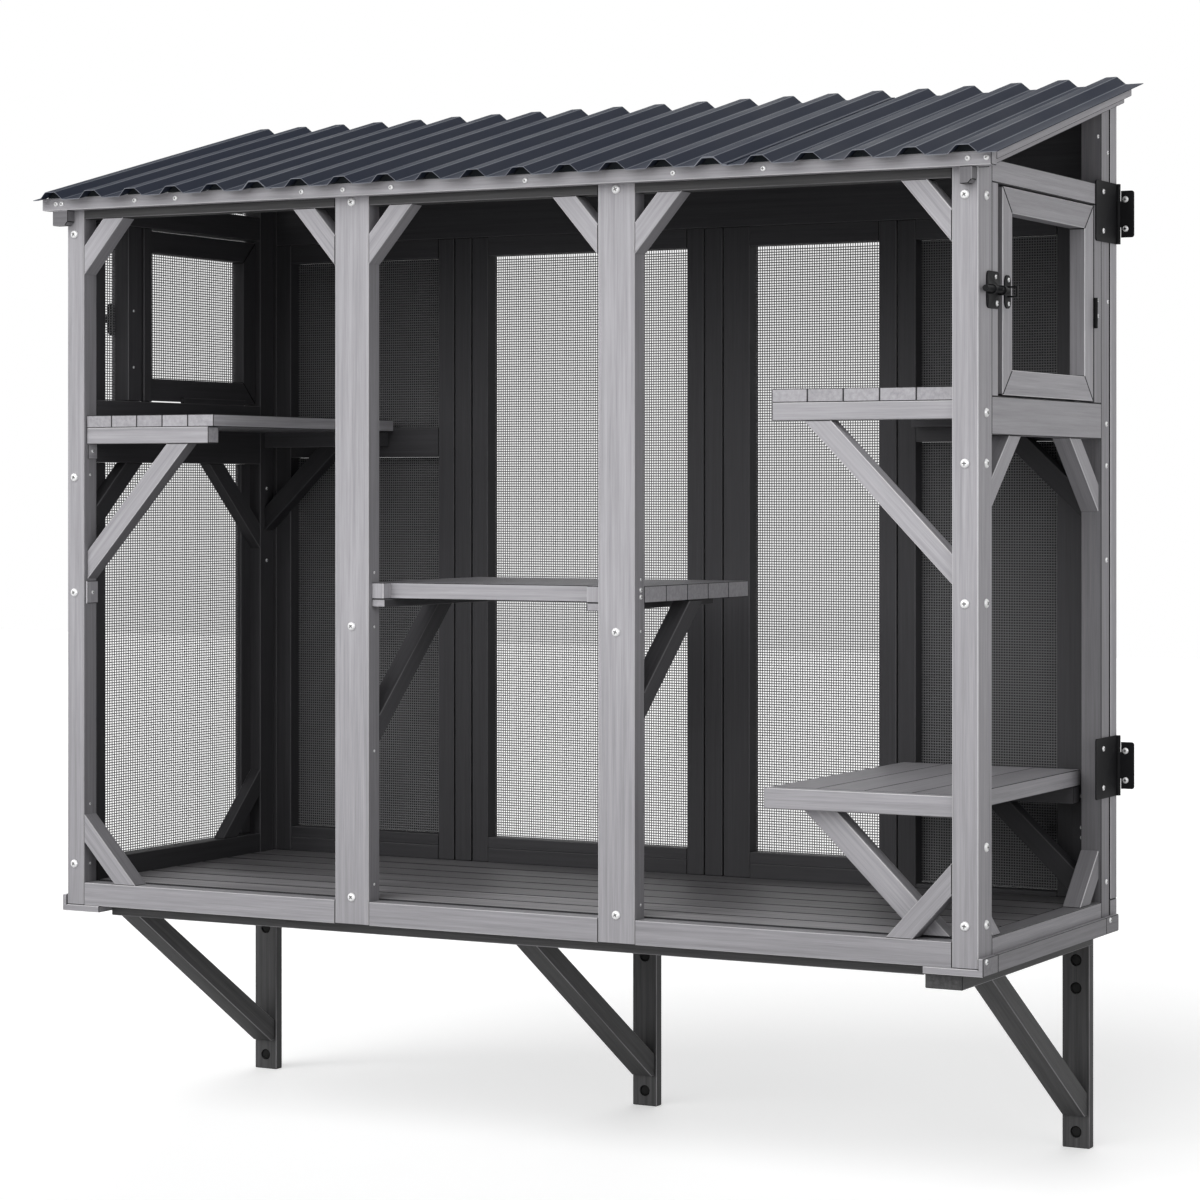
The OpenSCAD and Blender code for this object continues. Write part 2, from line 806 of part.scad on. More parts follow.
// Each brace runs from the underside of its arm down to its leg
module bracket_braces()
    color(dark_wood_colour)
        in_box() {
            top = arm_bottom - seat;
            wall_y = leg_front_y - seat;
            low = -bracket_brace_drop;
            upper_low = low + bracket_brace_foot;
            toe = 10;
            lower_run = (top - low) / bracket_brace_slope - toe;
            upper_run = (top - upper_low) / bracket_brace_slope;
            at_brackets()
                along_x([-bracket_brace_w / 2, bracket_brace_w / 2])
                    polygon([
                        [wall_y, low], [wall_y, upper_low], [wall_y - upper_run, top],
                        [wall_y - toe - lower_run, top], [wall_y - toe, low]
                    ]);
        }

// -------- side panels

// A post of a side panel between two depths, cut to the slope of the rafter above it
module panel_post(y)
    along_x([panel_inner_x, box_w])
        polygon([[y[0], 0], [y[1], 0], [y[1], under_rafter(y[1])], [y[0], under_rafter(y[0])]]);

// The upper rail of a side panel, cut to the slope of the rafter where they meet
module panel_upper_rail(y, h)
    intersection() {
        panel_post(y);
        board([panel_inner_x - past, box_w + past], y,
              [upper_rail_z, upper_rail_z + h]);
    }

full_t = [panel_inner_x, box_w];
right_rail_y = [right_post_d + seat, right_back_post_y - seat];
left_rail_y = [left_post_d + seat, left_back_post_y - seat];
right_mid_top = right_mid_z + right_mid_h;
left_mid_top = left_mid_z + left_mid_h;
right_jamb_end = right_rail_y[0] + right_jamb_w;
left_jamb_end = left_rail_y[0] + left_jamb_w;
mullion_y = [left_door_y - door_gap - mullion_w, left_door_y - door_gap];
left_thin_stile_y = left_rail_y[1] - left_thin_stile_w;

module right_panel_posts()
    color(wood_colour)
        in_box() {
            panel_post([right_back_post_y, right_back_post_y + right_back_post_w]);
            board(full_t, [right_door_end + door_gap, right_back_post_y - seat],
                  [right_mid_top + seat, upper_rail_z - seat]);
            board([box_w - right_jamb_t, box_w], [right_rail_y[0], right_jamb_end],
                  [right_mid_top + seat, upper_rail_z - seat]);
            board([panel_inner_x, box_w - door_t - joint_gap],
                  [right_rail_y[0], right_door_y + door_gap + stop_w],
                  [right_mid_top + seat, upper_rail_z - seat]);
        }

module right_panel_rails()
    color(wood_colour)
        in_box() {
            board(full_t, right_rail_y, [0, right_panel_rail_h]);
            board(full_t, right_rail_y, [right_mid_z, right_mid_top]);
            panel_upper_rail(right_rail_y, upper_rail_h);
        }

module right_panel_braces()
    color(wood_colour)
        in_box() {
            x = [panel_inner_x, box_w - brace_set_back];
            side_brace(right_rail_y[0], right_mid_z - seat, 1, -1,
                       panel_brace_run, panel_brace_rise, panel_brace_w, x);
            side_brace(right_rail_y[1], right_mid_z - seat, -1, -1,
                       panel_brace_run, panel_brace_rise, panel_brace_w, x);
            side_brace(right_rail_y[0], right_panel_rail_h + seat, 1, 1,
                       small_brace_run, small_brace_rise, small_brace_w, x);
            side_brace(right_rail_y[1], right_panel_rail_h + seat, -1, 1,
                       foot_brace_run, foot_brace_rise, panel_brace_w, x);
        }

// Mesh above the left upper rail, in strips that climb with the roof
module gable_mesh(y) {
    base = upper_rail_z + left_upper_rail_h + seat;
    y0 = y[0] + max(base + gable_strip_min - under_rafter(y[0]), 0) / roof_slope;
    n = floor((y[1] - seat - y0) / mesh_pitch);
    dy = (y[1] - seat - y0) / n;
    hole_y = dy - mesh_wire;
    tops = [for (i = [0:n - 1]) under_rafter(y0 + i * dy + mesh_wire) - mesh_wire];
    holes = [
        for (i = [0:n - 1]) each [
            [y0 + i * dy + mesh_wire, base + mesh_wire],
            [y0 + i * dy + mesh_wire + hole_y - mesh_wire, base + mesh_wire],
            [y0 + i * dy + mesh_wire + hole_y - mesh_wire, tops[i]],
            [y0 + i * dy + mesh_wire, tops[i]]
        ]
    ];
    rim = [
        [y0, base], [y[1] - seat, base], [y[1] - seat, under_rafter(y[1] - seat)],
        [y0, under_rafter(y0)]
    ];
    along_x([mesh_x, mesh_x + mesh_t])
        polygon(concat(rim, holes), paths = [for (k = [0:n]) [for (m = [0:3]) 4 * k + m]]);
}

module left_panel_posts()
    color(wood_colour)
        in_box()
            on_left() {
                thin_x = [box_w - left_jamb_t, box_w];
                panel_post([left_back_post_y, left_back_post_y + left_back_post_w]);
                board(full_t, mullion_y, [left_mid_top + seat, upper_rail_z - seat]);
                for (z = [[left_panel_rail_h, left_mid_z], [left_mid_top, upper_rail_z]])
                    board(thin_x, [left_rail_y[0], left_jamb_end], [z[0] + seat, z[1] - seat]);
                board(thin_x, [left_thin_stile_y, left_rail_y[1]],
                      [left_panel_rail_h + seat, left_mid_z - seat]);
                board([panel_inner_x, box_w - door_t - joint_gap],
                      [left_door_y + door_gap, left_door_y + door_gap + stop_w],
                      [left_mid_top + seat, upper_rail_z - seat]);
            }

module left_panel_rails()
    color(wood_colour)
        in_box()
            on_left() {
                board(full_t, left_rail_y, [0, left_panel_rail_h]);
                board(full_t, left_rail_y, [left_mid_z, left_mid_top]);
                panel_upper_rail(left_rail_y, left_upper_rail_h);
            }

module left_panel_braces()
    color(wood_colour)
        in_box()
            on_left() {
                x = [panel_inner_x, box_w - left_jamb_t - seat];
                side_brace(left_rail_y[0], left_mid_z - seat, 1, -1,
                           panel_brace_run, panel_brace_rise, panel_brace_w, x);
                side_brace(left_rail_y[1], left_mid_z - seat, -1, -1,
                           left_brace_run, left_brace_rise, panel_brace_w, x);
                side_brace(left_rail_y[0], left_panel_rail_h + seat, 1, 1,
                           small_brace_run, small_brace_rise, small_brace_w, x);
                side_brace(left_rail_y[1], left_panel_rail_h + seat, -1, 1,
                           left_foot_brace_run, left_foot_brace_rise, panel_brace_w, x);
            }

module left_panel_mesh()
    color(mesh_colour)
        in_box()
            on_left() {
                side_mesh([left_jamb_end, left_thin_stile_y], [left_panel_rail_h, left_mid_z]);
                side_mesh([left_jamb_end, mullion_y[0]], [left_mid_top, upper_rail_z]);
                gable_mesh(left_rail_y);
            }

// -------- doors

door_x = [box_w - door_t, box_w];
right_door = [right_door_y, right_door_end, right_mid_top + door_gap];
left_door = [left_door_y, left_door_end, left_mid_top + door_gap];
door_top = upper_rail_z - door_gap;

// Two stiles with two rails between them; d holds the front edge, back edge and underside
module door_frame(d) {
    inner_y = [d[0] + door_stile_w, d[1] - door_stile_w];
    board(door_x, [d[0], inner_y[0]], [d[2], door_top]);
    board(door_x, [inner_y[1], d[1]], [d[2], door_top]);
    for (z = [d[2], door_top - door_rail_h])
        board(door_x, [inner_y[0] + joint_gap, inner_y[1] - joint_gap], [z, z + door_rail_h]);
}

module door_mesh(d)
    side_mesh([d[0] + door_stile_w, d[1] - door_stile_w],
              [d[2] + door_rail_h, door_top - door_rail_h]);

module right_door_frame()
    color(wood_colour)
        in_box()
            door_frame(right_door);

module left_door_frame()
    color(wood_colour)
        in_box()
            on_left()
                door_frame(left_door);

module left_door_mesh()
    color(mesh_colour)
        in_box()
            on_left()
                door_mesh(left_door);

// Heights of a door hinge's three knuckles, from its underside
function knuckle_z(h, k) = [k * h / 3 + joint_gap / 2, (k + 1) * h / 3 - joint_gap / 2];
function door_hinge_z(d) = (d[2] + door_top - door_hinge_h) / 2 - door_hinge_drop;

// A leaf of a door hinge in the gap behind the door, with its knuckles round the pin.
// side is -1 for the leaf on the door and 1 for the leaf on the frame.
module door_hinge_leaf(d, side, knuckles) {
    pin_y = d[1] + door_gap / 2;
    face_y = pin_y + side * door_gap / 2;
    leaf_y = side < 0 ? [face_y + seat, face_y + seat + door_leaf_t]
                      : [face_y - seat - door_leaf_t, face_y - seat];
    inner_x = box_w - door_t / 2;
    z0 = door_hinge_z(d);
    board([inner_x, box_w - joint_gap], leaf_y, [z0, z0 + door_hinge_h]);
    for (k = knuckles) {
        z = z0 + knuckle_z(door_hinge_h, k)[0];
        h = door_hinge_h / 3 - joint_gap;
        difference() {
            union() {
                translate([door_pin_x, pin_y, z])
                    cylinder(h = h, r = door_knuckle_r);
                board([box_w - 2 * joint_gap, door_pin_x], leaf_y, [z, z + h]);
            }
            translate([door_pin_x, pin_y, z - past])
                cylinder(h = h + 2 * past, r = door_pin_r + run_gap);
        }
    }
}

module right_door_hinge_leaf()
    color(metal_colour)
        in_box()
            door_hinge_leaf(right_door, -1, [1]);

module left_door_hinge_leaf()
    color(metal_colour)
        in_box()
            on_left()
                door_hinge_leaf(left_door, -1, [1]);

module door_hinge_frame_leaves()
    color(metal_colour)
        in_box() {
            door_hinge_leaf(right_door, 1, [0, 2]);
            on_left()
                door_hinge_leaf(left_door, 1, [0, 2]);
        }

// -------- latches

// A guide: a round sleeve on a foot, with a bore for the bolt
module bolt_guide(y, bore_r, foot_x)
    difference() {
        union() {
            translate([bolt_x, y, latch_z])
                rotate([-90, 0, 0])
                    cylinder(h = guide_l, r = bore_r + guide_wall);
            board([foot_x, bolt_x], [y, y + guide_l],
                  [latch_z - bore_r - guide_wall, latch_z + bore_r + guide_wall]);
        }
        translate([bolt_x, y - past, latch_z])
            rotate([-90, 0, 0])
                cylinder(h = guide_l + 2 * past, r = bore_r);
    }

// A plate on the outer face with corners rounded to r
module rounded_plate(y, z, r, x)
    along_x([x, x + latch_plate_t]) {
        translate([y[0] + r, z[0] + r])
            circle(r);
        translate([y[1] - r, z[0] + r])
            circle(r);
        translate([y[0] + r, z[1] - r])
            circle(r);
        translate([y[1] - r, z[1] - r])
            circle(r);
        translate([y[0] + r, z[0]])
            square([y[1] - y[0] - 2 * r, z[1] - z[0]]);
        translate([y[0], z[0] + r])
            square([y[1] - y[0], z[1] - z[0] - 2 * r]);
    }

// The plate on the post, its back edge at the jamb, with two guides
module latch_plate(end_y) {
    y = [end_y - latch_plate_w, end_y];
    rounded_plate(y, [latch_z - latch_plate_h / 2, latch_z + latch_plate_h / 2], plate_corner_r,
                  box_w + seat);
    for (guide_y = [y[0] + plate_rim, y[1] - guide_l - plate_rim])
        bolt_guide(guide_y, bolt_r + run_gap, box_w + seat + latch_plate_t - joint_gap);
}

right_plate_end = right_jamb_end + joint_gap;
left_plate_end = mullion_y[1] + joint_gap;

module latch_plates()
    color(metal_colour)
        in_box() {
            latch_plate(right_plate_end);
            on_left()
                latch_plate(left_plate_end);
        }

// The bolt at rest, drawn back: its tip stops short of the door's edge, and its handle
// stands at the front guide
module latch_bolt(door_y, end_y) {
    tip_y = door_y - bolt_back;
    plate_y = end_y - latch_plate_w;
    tail_y = plate_y - bolt_travel + plate_rim;
    translate([bolt_x, tail_y, latch_z])
        rotate([-90, 0, 0])
            cylinder(h = tip_y - tail_y, r = bolt_r);
    translate([bolt_x, plate_y + plate_rim + guide_l + handle_r + joint_gap, latch_z])
        rotate([0, 90, 0])
            cylinder(h = bolt_r + handle_l, r = handle_r);
}

module right_latch_bolt()
    color(metal_colour)
        in_box()
            latch_bolt(right_door_y, right_plate_end);

module left_latch_bolt()
    color(metal_colour)
        in_box()
            on_left()
                latch_bolt(left_door_y, left_plate_end);

// The keeper on the door's front stile: a plate, and a square loop that takes the bolt
module keeper(door_y) {
    y = [door_y + keeper_inset, door_y + keeper_inset + keeper_w];
    rounded_plate(y, [latch_z - keeper_h / 2, latch_z + keeper_h / 2], keeper_w / 2 - past,
                  box_w + seat);
    loop_y = [(y[0] + y[1] - guide_l) / 2, (y[0] + y[1] + guide_l) / 2];
    half = bolt_r + keeper_play;
    x = [box_w + seat + latch_plate_t + joint_gap, bolt_x + half];
    board(x, loop_y, [latch_z + half, latch_z + half + guide_wall]);
    board(x, loop_y, [latch_z - half - guide_wall, latch_z - half]);
    board([x[1] + joint_gap, x[1] + joint_gap + guide_wall], loop_y,
          [latch_z - half - guide_wall, latch_z + half + guide_wall]);
}

module right_keeper()
    color(metal_colour)
        in_box()
            keeper(right_door_y);

module left_keeper()
    color(metal_colour)
        in_box()
            on_left()
                keeper(left_door_y);

// -------- back frame

back_full = [back_y, box_d];

// The clear opening of a back panel, in X
function panel_open(p) = [p[0] + p[2], p[1] - p[3]];
// The end panels and the height of their mid rails
end_panels = [[back_panels[0], back_mid_1_z], [back_panels[3], back_mid_4_z]];

module back_frame_posts()
    color(dark_wood_colour)
        in_box() {
            top = back_header_top;
            board([0, back_corner_w - seat], back_full, [back_frame_z, top]);
            board([box_w - back_corner_w + seat, box_w], [back_y + back_slot / 2, box_d],
                  [back_frame_z, top]);
            for (x = back_posts_x)
                board([x, x + back_post_w], back_full, [back_frame_z, back_header_z - seat]);
            for (p = back_panels) {
                open_x = panel_open(p);
                board([p[0], open_x[0]], back_full, [back_frame_z, back_header_z - seat]);
                board([open_x[1], p[1]], back_full, [back_frame_z, back_header_z - seat]);
            }
        }

module back_frame_rails()
    color(dark_wood_colour)
        in_box() {
            board([0, box_w], back_full, [arm_top + seat, floor_top]);
            for (p = back_panels) {
                open_x = panel_open(p);
                x = [open_x[0] + seat, open_x[1] - seat];
                if (p[4] > back_strip_z) {
                    board(x, back_full, [back_frame_z, back_strip_z]);
                    board(x, back_full, [back_strip_z + joint_gap, p[4]]);
                } else
                    board(x, back_full, [back_frame_z, p[4]]);
                board(x, back_full, [back_open_top, back_header_z - seat]);
            }
            for (m = end_panels) {
                open_x = panel_open(m[0]);
                board([open_x[0] + seat, open_x[1] - seat], back_full, [m[1], m[1] + back_mid_h]);
            }
        }

// One mesh sheet in an opening of the back frame
module back_mesh(x, z)
    along_y([box_d - mesh_inset - mesh_t, box_d - mesh_inset])
        mesh_outline([x[0] + seat, z[0] + seat], [x[1] - seat, z[1] - seat]);

module back_mesh_panels()
    color(mesh_colour)
        in_box() {
            for (p = [back_panels[1], back_panels[2]])
                back_mesh(panel_open(p), [back_open_bottom, back_open_top]);
            for (m = end_panels) {
                back_mesh(panel_open(m[0]), [m[0][4], m[1]]);
                back_mesh(panel_open(m[0]), [m[1] + back_mid_h, back_open_top]);
            }
        }

// The end panels are closed by boards behind their mesh
module back_end_boards()
    color(dark_wood_colour)
        in_box()
            for (m = end_panels) {
                open_x = panel_open(m[0]);
                x = [open_x[0] + seat, open_x[1] - seat];
                y = [box_d - seat - back_board_t, box_d - seat];
                board(x, y, [m[0][4] + seat, m[1] - seat]);
                board(x, y, [m[1] + back_mid_h + seat, back_open_top - seat]);
            }

module back_header_board()
    color(dark_wood_colour)
        in_box()
            board([back_corner_w, box_w - back_corner_w], back_full,
                  [back_header_z, back_header_top]);

// -------- shelves

// n boards side by side along X, each running in depth
module deep_boards(x, y, z, n) {
    w = (x[1] - x[0]) / n;
    for (i = [0:n - 1])
        board([x[0] + i * w + joint_gap / 2, x[0] + (i + 1) * w - joint_gap / 2], y, z);
}

left_shelf_x = [panel_t + seat, panel_t + left_shelf_w];
right_shelf_x = [right_post_x - right_shelf_w, right_post_x - seat];
low_shelf_x = [right_post_x - low_shelf_w, right_post_x - seat];
upper_shelf_y = [shelf_front, back_y - seat];
front_rail_y = [shelf_front + joint_gap, shelf_front + shelf_rail_d];
rear_rail_y = [back_y - shelf_rail_d, back_y - seat];
low_shelf_y = [shelf_front + low_rail_d + seat, shelf_front + low_shelf_d];
low_rear_y = [low_shelf_y[1] - shelf_rail_d, low_shelf_y[1]];
left_shelf_low = left_shelf_z - shelf_t - seat;
right_shelf_low = right_shelf_z - shelf_t - seat;
low_shelf_low = low_shelf_z - low_shelf_t - seat;
mid_shelf_x = [mid_left_x + mid_post_w - mid_brace_t, mid_right_x + mid_post_w];
mid_shelf_y = [front_t + seat, front_t + mid_shelf_d];
mid_shelf_low = mid_shelf_z - mid_shelf_t - seat;

module upper_left_shelf_boards()
    color(wood_colour)
        in_box()
            deep_boards(left_shelf_x, upper_shelf_y, [left_shelf_z - shelf_t, left_shelf_z],
                        shelf_boards_n);

module upper_right_shelf_boards()
    color(wood_colour)
        in_box()
            deep_boards(right_shelf_x, upper_shelf_y, [right_shelf_z - shelf_t, right_shelf_z],
                        shelf_boards_n);

module lower_shelf_boards()
    color(wood_colour)
        in_box()
            deep_boards(low_shelf_x, low_shelf_y, [low_shelf_z - low_shelf_t, low_shelf_z],
                        low_boards_n);

// The middle shelf's boards run along the front instead
module middle_shelf_boards()
    color(wood_colour)
        in_box() {
            w = (mid_shelf_y[1] - mid_shelf_y[0]) / shelf_boards_n;
            for (i = [0:shelf_boards_n - 1])
                board(mid_shelf_x,
                      [mid_shelf_y[0] + i * w + joint_gap / 2,
                       mid_shelf_y[0] + (i + 1) * w - joint_gap / 2],
                      [mid_shelf_z - mid_shelf_t, mid_shelf_z]);
        }

// Rails under the ends of the boards, and the blocks and battens of the middle shelf
module shelf_rails()
    color(wood_colour)
        in_box() {
            short = 10;
            for (y = [front_rail_y, rear_rail_y]) {
                board([left_shelf_x[0], left_shelf_x[1] - short], y,
                      [left_shelf_low - shelf_rail_h, left_shelf_low]);
                board(right_shelf_x, y, [right_shelf_low - shelf_rail_h, right_shelf_low]);
            }
            board(low_shelf_x, [shelf_front, shelf_front + low_rail_d],
                  [low_shelf_z - low_rail_h, low_shelf_z]);
            board(low_shelf_x, low_rear_y, [low_shelf_low - shelf_rail_h, low_shelf_low]);
            for (x = [mid_left_x + mid_post_w + seat, mid_right_x - seat - mid_batten_w]) {
                board([x, x + mid_batten_w], [mid_block_y, mid_shelf_y[1]],
                      [mid_shelf_low - mid_batten_h, mid_shelf_low]);
                board([x, x + mid_batten_w - 3], [mid_block_y, front_t],
                      [mid_shelf_low + seat, mid_shelf_z]);
            }
            cleat_x = [left_post_w + seat, left_post_w + cleat_t];
            board(cleat_x, [8, left_post_d - 2], [cleat_z, cleat_z + cleat_h * 0.65]);
            board(cleat_x, [4, left_post_d], [low_cleat_z, low_cleat_z + cleat_h]);
        }

// A brace in the side view between two X values, under a shelf
module mid_shelf_brace(x, run, rise)
    side_brace(front_t + seat, mid_shelf_low - seat, 1, -1, run, rise, shelf_brace_w, x);

module shelf_braces()
    color(wood_colour)
        in_box() {
            front_y = [shelf_front + 2, shelf_front + shelf_rail_d];
            left_low = left_shelf_low - shelf_rail_h - seat;
            right_low = right_shelf_low - shelf_rail_h - seat;
            low_low = low_shelf_low - shelf_rail_h - seat;
            front_brace(left_post_w + seat, left_low, 1, -1,
                        left_brace_reach, left_brace_fall, shelf_brace_w, front_y);
            front_brace(right_post_x - seat, right_low, -1, -1,
                        right_brace_reach, right_brace_fall, shelf_brace_w, front_y);
            front_brace(panel_t + seat, left_low, 1, -1,
                        rear_brace_reach, rear_brace_fall, shelf_brace_w, rear_rail_y);
            front_brace(panel_inner_x - seat, right_low, -1, -1,
                        rear_brace_reach, rear_brace_fall, shelf_brace_w, rear_rail_y);
            front_brace(panel_inner_x - seat, low_low, -1, -1,
                        rear_brace_reach, rear_brace_fall, shelf_brace_w, low_rear_y);
            low_brace_foot = low_brace_w * 1.42;
            along_y([front_t + 2 * seat, front_t + shelf_rail_d])
                polygon([
                    [right_post_x - low_brace_reach, low_shelf_low - seat],
                    [right_post_x - low_brace_reach + low_brace_foot, low_shelf_low - seat],
                    [right_post_x - low_brace_toe + low_brace_foot, floor_top + seat],
                    [right_post_x - low_brace_toe, floor_top + seat]
                ]);
            mid_shelf_brace([mid_left_x + mid_post_w - mid_brace_t, mid_left_x + mid_post_w],
                            mid_left_brace_run, mid_left_brace_rise);
            mid_shelf_brace([mid_right_x + mid_post_w - mid_brace_t, mid_right_x + mid_post_w],
                            mid_right_brace_run, mid_right_brace_rise);
        }

// -------- roof

// An outline between the sheets and a line h below them, from y[0] to y[1]
module under_roof(y, h)
    polygon([
        [y[0], roof_z(y[0]) - seat - h], [y[1], roof_z(y[1]) - seat - h],
        [y[1], roof_z(y[1]) - seat], [y[0], roof_z(y[0]) - seat]
    ]);

module rafters()
    color(dark_wood_colour)
        in_box() {
            xs = [
                (left_post_w - rafter_w) / 2,
                mid_left_x + (mid_post_w - rafter_w) / 2,
                mid_right_x + (mid_post_w - rafter_w) / 2,
                box_w - rafter_w - 2
            ];
            for (x = xs)
                along_x([x, x + rafter_w])
                    under_roof([0, back_y - seat], rafter_h);
        }

module barge_boards()
    color(wood_colour)
        in_box()
            for (x = [
                [-eave_left, -eave_left + barge_t, barge_h],
                [joint_gap - eave_left + barge_t, -seat, packing_h],
                [box_w + seat, box_w + eave_right - barge_t - joint_gap, packing_h],
                [box_w + eave_right - barge_t, box_w + eave_right, barge_h]
            ])
                along_x([x[0], x[1]])
                    under_roof([0, box_d - barge_wall_gap], x[2]);

// The sheets are drawn out down the slope
roof_angle = atan(roof_slope);
roof_back_y = box_d - sheet_wall_gap;
ribs_n = floor((box_w + eave_right + sheet_past_right - first_rib_x) / rib_pitch) + 1;
roof_left_x = -eave_left - sheet_past_left;
roof_right_x = box_w + eave_right + sheet_past_right;

// A sheet from rib a to rib b between two X values
module roof_sheet(a, b, x, lift)
    translate([0, roof_back_y, roof_z(roof_back_y) + lift])
        rotate([90 + roof_angle, 0, 0])
            linear_extrude((roof_back_y + sheet_front) / cos(roof_angle)) {
                low = concat(
                    [[x[0], 0]],
                    rib_points(first_rib_x + a * rib_pitch, b - a + 1),
                    [[x[1], 0]]
                );
                n = len(low);
                high = [for (i = [n - 1:-1:0]) low[i] + [0, sheet_t]];
                polygon(concat(low, high));
            }

lap_edge = rib_foot_w / 2 + lap_flat;
left_lap_x = first_rib_x + (outer_ribs - 1) * rib_pitch;
right_lap_x = first_rib_x + (ribs_n - outer_ribs) * rib_pitch;

module roof_sheets_outer()
    color(roof_colour)
        in_box() {
            roof_sheet(0, outer_ribs - 1, [roof_left_x, left_lap_x + lap_edge], 0);
            roof_sheet(ribs_n - outer_ribs, ribs_n - 1, [right_lap_x - lap_edge, roof_right_x], 0);
        }

// The middle sheet laps over a rib of each outer sheet
module roof_sheet_middle()
    color(roof_colour)
        in_box()
            roof_sheet(outer_ribs - 1, ribs_n - outer_ribs,
                       [left_lap_x - lap_edge, right_lap_x + lap_edge], sheet_t + lap_gap);

// -------- hinges on the wall

hinge_zs = [lower_hinge_z, upper_hinge_z];
// The left side leaves end behind the left door, so that it swings clear of them
left_leaf_l = wall_pin_y - left_door_end - 2 * door_gap;

// A side leaf: a plate on the box with knuckles above and below the wall leaf's
module side_leaf(mid_z, leaf_l) {
    x = [box_w + seat, box_w + seat + leaf_t];
    end_y = wall_pin_y - leaf_l;
    z0 = mid_z - side_leaf_h / 2;
    h = (side_leaf_h - wall_knuckle_h) / 2;
    difference() {
        union() {
            board(x, [end_y + leaf_corner_r, wall_pin_y - knuckle_r - joint_gap],
                  [z0, z0 + side_leaf_h]);
            board(x, [end_y, wall_pin_y - leaf_l / 2],
                  [z0 + leaf_corner_r, z0 + side_leaf_h - leaf_corner_r]);
            for (z = [z0 + leaf_corner_r, z0 + side_leaf_h - leaf_corner_r])
                translate([x[0], end_y + leaf_corner_r, z])
                    rotate([0, 90, 0])
                        cylinder(h = leaf_t, r = leaf_corner_r);
            for (z = [z0, z0 + side_leaf_h - h]) {
                translate([wall_pin_x, wall_pin_y, z])
                    cylinder(h = h, r = knuckle_r);
                board(x,
                      [wall_pin_y - knuckle_r - past, wall_pin_y], [z, z + h]);
            }
        }
        translate([wall_pin_x, wall_pin_y, z0 - past])
            cylinder(h = side_leaf_h + 2 * past, r = pin_r + run_gap);
    }
}

module wall_hinge_side_leaves()
    color(metal_colour)
        in_box()
            for (z = hinge_zs) {
                side_leaf(z, side_leaf_l);
                on_left()
                    side_leaf(z, left_leaf_l);
            }

// A wall leaf: a plate flat on the wall with one long knuckle and two screw holes
module wall_leaf(mid_z) {
    knuckle_h = wall_knuckle_h - 2 * joint_gap;
    y = [box_d - seat - leaf_t, box_d - seat];
    difference() {
        union() {
            translate([wall_pin_x, wall_pin_y, mid_z - knuckle_h / 2])
                cylinder(h = knuckle_h, r = knuckle_r);
            board([wall_pin_x, wall_pin_x + knuckle_r + past], y,
                  [mid_z - knuckle_h / 2, mid_z + knuckle_h / 2]);
            board([wall_pin_x + knuckle_r + joint_gap, wall_pin_x + wall_leaf_w - leaf_corner_r], y,
                  [mid_z - wall_leaf_h / 2, mid_z + wall_leaf_h / 2]);
            board([wall_pin_x + wall_leaf_w / 2, wall_pin_x + wall_leaf_w], y,
                  [mid_z - wall_leaf_h / 2 + leaf_corner_r, mid_z + wall_leaf_h / 2 - leaf_corner_r]);
            for (s = [-1, 1])
                translate([wall_pin_x + wall_leaf_w - leaf_corner_r, y[0],
                           mid_z + s * (wall_leaf_h / 2 - leaf_corner_r)])
                    rotate([-90, 0, 0])
                        cylinder(h = leaf_t, r = leaf_corner_r);
        }
        translate([wall_pin_x, wall_pin_y, mid_z - wall_leaf_h])
            cylinder(h = 2 * wall_leaf_h, r = pin_r + run_gap);
        for (s = [-1, 1])
            translate([leaf_screw_x, y[0] - past, mid_z + s * leaf_screw_span / 2])
                rotate([-90, 0, 0])
                    cylinder(h = leaf_t + 2 * past, r = leaf_screw_r);
    }
}

module upper_right_wall_leaf()
    color(metal_colour)
        in_box()
            wall_leaf(upper_hinge_z);

module lower_right_wall_leaf()
    color(metal_colour)
        in_box()
            wall_leaf(lower_hinge_z);

module upper_left_wall_leaf()
    color(metal_colour)
        in_box()
            on_left()
                wall_leaf(upper_hinge_z);

module lower_left_wall_leaf()
    color(metal_colour)
        in_box()
            on_left()
                wall_leaf(lower_hinge_z);

// The pins of the wall hinges and the door hinges; all belong to the fixed leaves
module side_pins(d) {
    for (z = hinge_zs)
        translate([wall_pin_x, wall_pin_y, z - side_leaf_h / 2])
            cylinder(h = side_leaf_h, r = pin_r);
    translate([door_pin_x, d[1] + door_gap / 2, door_hinge_z(d)])
        cylinder(h = door_hinge_h, r = door_pin_r);
}

module hinge_pins()
    color(metal_colour)
        in_box() {
            side_pins(right_door);
            on_left()
                side_pins(left_door);
        }

// -------- screws

// A screw head on a face turned to the front
module front_screw(x, z, r, y)
    translate([x, y, z])
        rotate([90, 0, 0])
            cylinder(h = screw_h, r = r);

// A screw head on the outer face of the right side
module side_screw(y, z, r, x)
    translate([x, y, z])
        rotate([0, 90, 0])
            cylinder(h = screw_h, r = r);

